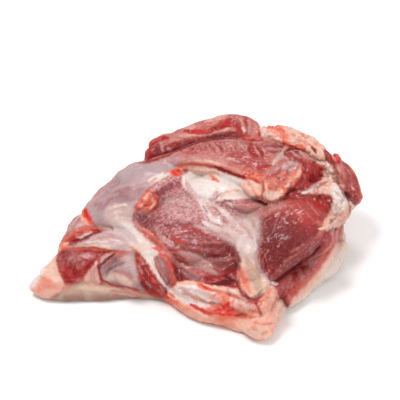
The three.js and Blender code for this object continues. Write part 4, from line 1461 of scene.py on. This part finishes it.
# Painted shade here: the dark film stroke along the flap's right edge, where the muscle lies over it, and the lilac
# stroke in the groove of the first fold in front.
paint(f"""
film white, area, 6, 0.85: 228,220 240,214 252,212 260,216 260,230 257,246 246,252 236,244 226,238 220,230 / 236,216
    246,250 256,290
film white, area, 2: 236,244 248,238 257,244 257,256 261,268 269,281 271,287 260,294 248,299 243,293 240,282 240,270
    242,263 239,253
white, area, 5, 0.45: 224,232 234,224 246,219 257,220 259,234 256,250 246,254 239,248 231,241
film white, 4, 5, 0.6: 206,229 220,233 236,240
film pink, 1.6, 2, 0.6: 240,224 247,230 252,238 / 232,227 243,234 / 250,218 256,228 / 222,232 232,238
cream, area, 3: 241,262 250,258 258,268 269,284 257,297 249,298 242,288 239,274
beige, 9, 5, 0.75: 248,262 254,274 258,288
film dark, 1.4, 2.5, 0.6: 256,254 257,264 261,272
orange fat, area, 3.5, 0.75: 240,269 245,270 249,280 252,294 245,293 239,281
orange, 1.4, 2.5, 0.6: 241,268 242,276 245,284
film, 1.6, 2, 0.5: 258,250 257,258 260,268 267,279
muscle mid, 2.6, 2.5, 0.7: 261,254 261,262 265,271
peach, area: 168,294 180,282 195,281 206,284 222,287 239,289 247,296 254,300 264,304 268,318 252,319 238,318 220,320
    204,318 190,309 178,304 / 172,294 210,304 264,312
peach, area, 3: 164,302 176,302 190,309 204,316 222,318 242,318 246,338 226,330 205,326 186,316 168,308
orange fat, 4, 4, 0.7: 170,303 184,309 198,317 / 206,320 222,323 238,326
milky, area, 1.8: 176,290 182,283 192,283 200,287 210,291 221,296 224,303 213,303 201,297 190,293 180,293
lilac, 2, 2.5, 0.6: 184,292 196,298 208,303 218,305
film pink, 2, 2.5, 0.7: 198,290 208,294 218,299 / 180,288 188,290
peach, 2.4, 2, 0.8: 174,294 184,297 194,302 / 180,283 190,283 198,284
milky, 3.5, 2.5, 0.9: 170,291 178,296 188,301 200,306
film white, 2.4, 2, 0.6: 190,289 200,293 210,298
white, 2, 1.8, 0.8: 186,298 198,303 208,306
orange, area, 1.3: 197,282 203,284 210,288 217,291 213,292 205,290 199,287
blood, 2: 202,286 207,288 211,289
salmon, 2.4, 1.8, 0.9: 214,290 222,293 230,296
tip pink, area, 1.4: 226,287 236,290 245,296 240,298 231,294
white, 1.6, -, 0.8: 229,289 236,293
red, 1.8, 1.4, 0.8: 226,292 234,297 244,301 256,303
muscle, area, 1.4: 238,287 245,293 252,298 260,298 257,305 249,301 242,296
orange fat, area, 1.8: 219,295 226,294 230,298 231,305 225,307 219,303
orange, 1.6, -, 0.8: 223,297 225,302 / 228,299 229,304 / 232,296 236,298
tip pink, area, 2.5: 231,300 240,300 250,304 258,308 264,314 252,313 240,311 233,307
film white, 3, 3, 0.35: 233,303 242,305 251,309
white, 1.5, 2, 0.45: 232,302 238,301 244,302
rose, 2.4, 2.5, 0.45: 239,300 248,303 256,307
salmon, 2, 2, 0.8: 250,310 258,312 264,315
orange, area, 3: 206,309 214,305 222,304 232,307 242,312 251,315 246,320 234,319 224,321 212,317
blood, 2.6, 1.6: 191,305 199,309 207,313 217,315 227,315 238,315 250,317
blood, 2, 1.5: 214,311 222,309 232,310 242,313 / 228,303 229,308 226,313 / 218,308 225,306 229,304
orange, 3, 2.5, 0.7: 232,313 242,315 250,317
orange fat, 2.2, 2.5, 0.6: 212,316 224,318 238,319 / 236,311 246,313 254,315
blood dark, 1.2, -, 0.6: 204,312 209,313 / 234,315 241,315
orange, 2.8, 2, 0.8: 164,298 170,301 177,302 / 170,294 174,297
salmon, 1.6, 2, 0.6: 240,318 250,319 258,322
peach, area: {nub}
orange fat, area, 3, 0.6: {nub}
tip pink, 2.6, 2, 0.9: 273,290 272,297 266,304 / 262,309 266,311
orange, 1.3, -, 0.7: 262,300 260,306 / 266,296 268,298
muscle, 2, -, 0.8: 255,300 257,306 262,315
peach, area, 3: 236,320 250,317 264,317 274,313 282,303 286,312 280,326 272,340 262,344 250,343 240,338 236,328
cream, area, 2.5: 272,304 279,301 284,308 281,318 272,320 262,318 268,311
cream, 4, 3: 281,302 281,312 276,322
orange fat, area, 5, 0.3: 250,312 262,318 272,305 281,304 282,318 272,330 256,330
salmon, 1.1, 1.6, 0.6: 278,296 274,303 272,311
salmon, 1.1, -, 0.7: 254,323 264,324 275,323 / 246,318 256,317 264,316
cream, 4, 4, 0.6: 246,331 256,332 266,329
salmon, 1.8, 2, 0.5: 252,328 257,330 / 262,334 266,332
""")

# %% [markdown]
# A blunt knife leaves shreds, and pulled fat leaves crumbs. They are sprinkled on as marks over whatever
# tissue is there, and the material and the relief turn them into pattern.

# %% Loose shreds, crumbs and seeping blood
paint("""
crumbs, mark, 3, 1: 262,121 276,121 300,130 321,142 327,156 318,164 300,150 280,143 264,140 / 242,170 264,174 280,184
    296,172 304,164 303,176 288,191 278,203 264,199 263,181 246,177 / 323,160 334,172 342,188 352,204 350,222 336,231
    326,228 328,204 306,196 318,184
crumbs, mark, 3, 0.7: 134,210 138,200 146,191 156,193 160,204 152,213 / 258,314 258,302 270,287 279,292 274,306 264,316
crumbs, mark, 3, 0.5: 240,270 250,266 270,284 264,294 250,299 242,290
crumbs, mark, 3, 0.4: 66,236 72,222 84,208 94,222 106,229 84,238
crumbs, mark, 3, 0.5: 176,286 200,284 240,292 264,306 262,316 214,316 180,300
crumbs, mark, 3, 0.4: 154,258 166,252 178,270 182,292 166,286
shreds, mark, 3, 0.8: 196,143 230,140 262,142 284,148 270,158 236,152 204,151 / 262,166 284,160 300,164 294,180 274,186
shreds, mark, 3, 0.3: 60,256 84,251 108,253 96,264 76,275 62,274
shreds, mark, 3, 0.8: 138,256 146,260 160,280 172,294 152,292 142,278
shreds, mark, 3, 0.5: 326,150 338,160 352,172 360,196 350,202 340,180
shreds, mark, 3, 0.2: 286,300 300,284 318,266 332,248 320,252 300,266 280,288
shreds, mark, 4, 0.8: 154,214 176,222 206,226 236,228 228,240 190,240 160,230
shreds, mark, 4, 0.5: 168,240 200,244 236,246 240,262 210,268 182,256
shreds, mark, 3, 0.6: 156,142 190,132 226,128 222,138 190,144 160,154
seeped, mark, 3, 0.65: 262,122 276,122 300,131 318,142 312,149 286,143 266,138
seeped, mark, 4, 0.8: 196,282 224,290 246,300 262,306 250,318 214,316 190,304
seeped, mark, 3: 136,208 142,196 152,192 159,203 150,212
""")

# %% [markdown]
# Where the paint says muscle, the surface gets low ridges along its fibres, torn ends where it was cut
# across, and soft lobules in the fat. These are real relief, so they show from the side too.

# %% Fine relief
FIBRES_HIGH, TORN_HIGH, LOBULES_HIGH, CRUMBS_HIGH = 0.30, 0.45, 0.62, 1.5
fibre_relief = field(grain * [0.11, 0.40, 0.40], 1.0, 21)
torn_relief = field(points, 2.8 * MM, 22)
lobule_relief = 0.6 * field(points, 3.4 * MM, 23) + 0.4 * field(points, 8 * MM, 24)
crumb_field = np.abs(field(points, 5.0 * MM, 25) + 0.35 * field(points, 2.6 * MM, 26))
crumbs = mark_of("crumbs")
# The creases between crumbs of fat are tinted salmon, darker and redder than the fat: partly the fat's own redder tone
# and partly painted shade.
between_crumbs = smoothstep(0.16, 0.0, crumb_field) * crumbs * mark_of("fatty")
tint += (rgb(218, 112, 92) - tint) * (0.30 * between_crumbs)[:, None]
relief = CRUMBS_HIGH * crumbs * (np.minimum(crumb_field, 0.45) - 0.2) * 2.2
relief += (FIBRES_HIGH * mark_of("fibre") * fibre_relief + TORN_HIGH * mark_of("coarse") * torn_relief
           + LOBULES_HIGH * mark_of("fatty") * lobule_relief)
points = above_board(points + normals * (relief * MM)[:, None])
write_points(joint.data, points)
print("relief from", relief.min().round(2), "to", relief.max().round(2), "mm")

# %% [markdown]
# Attributes keep the paint on the points, so it needs no unwrapping and the material reads it by name.

# %% Hand the paint to the mesh
def keep(name, kind, values):
    attribute = joint.data.attributes.new(name, kind, "POINT")
    slot = {"FLOAT": "value", "FLOAT_VECTOR": "vector", "FLOAT_COLOR": "color"}[kind]
    attribute.data.foreach_set(slot, np.ascontiguousarray(values, np.float32).ravel())


tint = np.clip(tint, 0, 1)
keep("tint", "FLOAT_COLOR", np.hstack([tint, np.ones((len(tint), 1))]))
keep("grain", "FLOAT_VECTOR", grain)
for column, name in enumerate(MARKS):
    keep(name, "FLOAT", marks[:, column])
print("painted", len(tint), "points")

# %% [markdown]
# The material reads the paint and adds what is too fine to paint: fibres, bundles cut across, pale
# flecks between them, milky streaks in the film and lobules in the fat. One small class lets Python's
# own signs build the Math nodes, so a pattern reads like a formula.

# %% Wires
class Wire:
    """A number that runs along a wire of the material."""

    def __init__(self, shop, socket):
        self.shop = shop
        self.socket = socket

    def maths(self, operation, *others):
        sockets = dict(enumerate((self,) + others))
        return Wire(self.shop, self.shop.node("ShaderNodeMath", {"operation": operation}, sockets))

    def __add__(self, other):
        return self.maths("ADD", other)

    def __sub__(self, other):
        return self.maths("SUBTRACT", other)

    def __rsub__(self, other):
        return self * -1 + other

    def __mul__(self, other):
        return self.maths("MULTIPLY", other)

    __radd__ = __add__
    __rmul__ = __mul__

    def between(self, low, high):
        """0 below low, 1 above high and smooth between."""
        settings = {"interpolation_type": "SMOOTHSTEP"}
        return Wire(self.shop, self.shop.node("ShaderNodeMapRange", settings, {0: self, 1: low, 2: high}))


# %% The shop that makes the nodes
class Shop:
    """Adds nodes to one material."""

    def __init__(self, material):
        self.tree = material.node_tree

    def node(self, kind, settings=None, sockets=None, out=0):
        """Adds a node, with its settings first and then the values or links of its sockets."""
        made = self.tree.nodes.new(kind)
        for name, value in (settings or {}).items():
            setattr(made, name, value)
        for name, value in (sockets or {}).items():
            socket = made.inputs[name]
            if isinstance(value, Wire):
                self.tree.links.new(value.socket, socket)
            elif isinstance(value, bpy.types.NodeSocket):
                self.tree.links.new(value, socket)
            else:
                socket.default_value = value
        return made.outputs[out]

    def number(self, name):
        """One of the marks that the paint left on the mesh."""
        return Wire(self, self.node("ShaderNodeAttribute", {"attribute_name": name}, out="Fac"))

    def noise(self, vector, scale, detail=2.0):
        sockets = {"Vector": vector, "Scale": scale, "Detail": detail}
        return Wire(self, self.node("ShaderNodeTexNoise", None, sockets))

    def stretched(self, vector, *scale):
        return self.node("ShaderNodeVectorMath", {"operation": "MULTIPLY"}, {0: vector, 1: scale})

    def mix(self, first, second, factor):
        return self.node("ShaderNodeMix", {"data_type": "RGBA"}, {0: factor, 6: first, 7: second}, out=2)


# %% The patterns in the flesh
flesh = bpy.data.materials.new("raw_mutton")
flesh.use_nodes = True
shop = Shop(flesh)
shader = flesh.node_tree.nodes["Principled BSDF"]
place = shop.node("ShaderNodeTexCoord", out="Object")
tint_wire = shop.node("ShaderNodeAttribute", {"attribute_name": "tint"}, out="Color")
grain_wire = shop.node("ShaderNodeAttribute", {"attribute_name": "grain"}, out="Vector")
fibre, coarse, fatty, film, dull, seeped, shreds = (shop.number(name) for name in MARKS if name != "crumbs")


def grained(detail, *scale):
    """Noise that is drawn out along the fibres: its scale along, beside and below them, per millimetre."""
    return shop.noise(shop.stretched(grain_wire, *scale), 1.0, detail)


# Fibres run along the grain, a few tenths of a millimetre wide in bundles of one or two.
fibre_noise = grained(4.0, 0.10, 0.80, 0.80)
bundle_noise = grained(2.0, 0.06, 0.26, 0.26)
fleck_noise = grained(2.0, 0.22, 0.75, 0.75)
shred_noise = grained(1.5, 0.11, 0.19, 0.19)
cells = Wire(shop, shop.node("ShaderNodeTexVoronoi", {"feature": "SMOOTH_F1"}, {
    "Vector": shop.stretched(grain_wire, 0.28, 0.50, 0.50), "Scale": 1.0, "Smoothness": 0.35, "Randomness": 1.0}))
lobules = Wire(shop, shop.node("ShaderNodeTexVoronoi", {"feature": "SMOOTH_F1"}, {
    "Vector": place, "Scale": 420.0, "Smoothness": 0.6}))
broad = shop.noise(place, 45.0, 2.0)
fine = shop.noise(place, 900.0, 3.0)
middle_noise = shop.noise(place, 190.0, 3.0)
torn = shop.noise(place, 400.0, 4.0)
seeping = shop.noise(place, 185.0, 4.0)
mottle = cells * 0.55 + torn * 0.65
# Shreds, and the painted glints on the smooth muscle, lie where a slow noise passes its middle value, as thin broken
# lines.
shred_lines = (shred_noise - 0.5).maths("ABSOLUTE").between(0.034, 0.008) * middle_noise.between(0.47, 0.60)
print(len(flesh.node_tree.nodes), "nodes in the patterns")

# %% [markdown]
# Meat is never one colour. Each stain is laid over the paint where its mark and its pattern meet. They
# are mixed in one after the other, as thin glazes would be, since multiplying them would darken the fat.

# %% The colour of the flesh
# Each line is a stain's colour and the share that it takes.
stains = [
    # Dark gaps between the fibres, dark broad patches and pale flecks of fat in the lean
    ((0.30, 0.025, 0.025), fibre_noise.between(0.50, 0.68) * fibre * 0.50),
    ((0.26, 0.02, 0.03), (1 - broad).between(0.50, 0.72) * fibre * 0.35),
    ((0.62, 0.26, 0.23), fleck_noise.between(0.60, 0.74) * fibre * 0.40),
    # Fibre ends, and pale tissue between them, where muscle was cut across
    ((0.20, 0.015, 0.02), mottle.between(0.60, 0.40) * coarse * 0.42),
    ((0.59, 0.40, 0.43), mottle.between(0.54, 0.80) * coarse * 0.28),
    # Milky bundles in the film
    ((0.70, 0.58, 0.58), bundle_noise.between(0.52, 0.72) * film * 0.20),
    # Pink patches and waxy ones in the fat
    ((0.66, 0.26, 0.18), middle_noise.between(0.56, 0.74) * fatty * 0.35),
    ((0.74, 0.66, 0.60), broad.between(0.52, 0.70) * fatty * 0.22),
    # Torn shreds and painted glints on the wet smooth muscle, and blood that has seeped in, thin and thick
    ((0.72, 0.44, 0.40), shred_lines * shreds * 0.6),
    ((0.72, 0.15, 0.085), seeping.between(0.50, 0.62) * seeped * 0.55),
    ((0.52, 0.03, 0.02), seeping.between(0.60, 0.70) * seeped * 0.60),
]
colour = tint_wire
for stain, share in stains:
    colour = shop.mix(colour, (*stain, 1), share)
light_and_dark = shop.node("ShaderNodeHueSaturation", None, {
    "Value": 0.94 + (torn.between(0.38, 0.62) - 0.5) * (0.08 + 0.22 * fibre + 0.25 * coarse), "Color": colour})
print(len(stains), "stains over the paint")

# %% [markdown]
# Fresh meat is wet. Lean shines through a thin coat of its own juice, fat is waxy and dull, and what dried
# in the air is dull too. Light goes a little way into flesh and comes out redder, which softens the
# shadows. Relief finer than the mesh's faces comes from a bump.

# %% The shine and the finest relief
height = (fibre_noise * fibre * 0.6 + shred_lines * shreds * 0.3 + (cells + torn) * coarse * 0.6
          + lobules * fatty * 0.22 + fine * 0.08 + bundle_noise * film * 0.16)
links = {
    "Base Color": light_and_dark,
    "Roughness": (0.38 + 0.10 * fatty + 0.16 * fine - 0.06 * film + 0.3 * dull).socket,
    "Coat Weight": ((0.42 - 0.20 * fatty - 0.15 * film) * (1 - dull)).socket,
    "Normal": shop.node("ShaderNodeBump", None, {"Strength": 0.8, "Distance": 0.0009, "Height": height}),
}
for name, socket in links.items():
    flesh.node_tree.links.new(socket, shader.inputs[name])
same_all_over = {
    "Subsurface Weight": 0.12, "Subsurface Radius": (1.0, 0.35, 0.22), "Subsurface Scale": 0.003,
    "Coat Roughness": 0.13, "Specular IOR Level": 0.19,
}
for name, value in same_all_over.items():
    shader.inputs[name].default_value = value
print(len(flesh.node_tree.nodes), "nodes in the flesh")

# %% [markdown]
# The joint wears the flesh all over. Smooth shading lets the light run on over its small faces.

# %% Dress the joint
joint.data.materials.clear()
joint.data.materials.append(flesh)
bpy.ops.object.select_all(action="DESELECT")
joint.select_set(True)
bpy.context.view_layer.objects.active = joint
bpy.ops.object.shade_smooth()
print("the joint wears", joint.data.materials[0].name)

# %% [markdown]
# The floor is a plain pale sheet a hair below the joint, so that the two don't flicker into each other.

# %% Floor
FLOOR_SIZE, FLOOR_DROP = 8, 0.0002
bpy.ops.object.select_all(action="DESELECT")
bpy.ops.mesh.primitive_plane_add(size=FLOOR_SIZE, location=(0, 0, -FLOOR_DROP))
floor = bpy.context.object
floor.name = "floor"
pale = bpy.data.materials.new("pale_floor")
pale.use_nodes = True
pale.node_tree.nodes["Principled BSDF"].inputs["Base Color"].default_value = (0.93, 0.93, 0.93, 1)
pale.node_tree.nodes["Principled BSDF"].inputs["Roughness"].default_value = 0.9
floor.data.materials.append(pale)
print("floor", FLOOR_SIZE, "m wide")

# %% [markdown]
# Lights: soft light from above and in front, as in a studio tent. The small lamp behind puts the wet
# glints on the folds, and an even white sky fills the shadows.

# %% Lights
SKY_LIGHT = 0.62


def soft_light(name, place, size, power):
    """A round lamp that shines at the joint."""
    bpy.ops.object.light_add(type="AREA", location=place)
    lamp = bpy.context.object
    lamp.name = name
    lamp.data.shape = "DISK"
    lamp.data.size = size
    lamp.data.energy = power
    lamp.rotation_mode = "QUATERNION"
    lamp.rotation_quaternion = Vector(place).to_track_quat("Z", "Y")
    print("lamp", name, power, "W")


soft_light("key", (-0.45, -0.15, 1.15), 0.5, 9)
soft_light("right_fill", (1.1, -0.75, 0.65), 1.1, 8)
soft_light("glint", (0.12, 0.55, 1.0), 0.22, 2.2)
world = bpy.data.worlds.new("studio")
bpy.context.scene.world = world
world.use_nodes = True
world.node_tree.nodes["Background"].inputs["Color"].default_value = (1, 1, 1, 1)
world.node_tree.nodes["Background"].inputs["Strength"].default_value = SKY_LIGHT
bpy.context.scene.view_settings.view_transform = "Standard"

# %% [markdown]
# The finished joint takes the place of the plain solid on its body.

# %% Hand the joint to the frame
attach(joint, "root")
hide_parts("mutton")
print("triangles", triangles_of(joint.data))
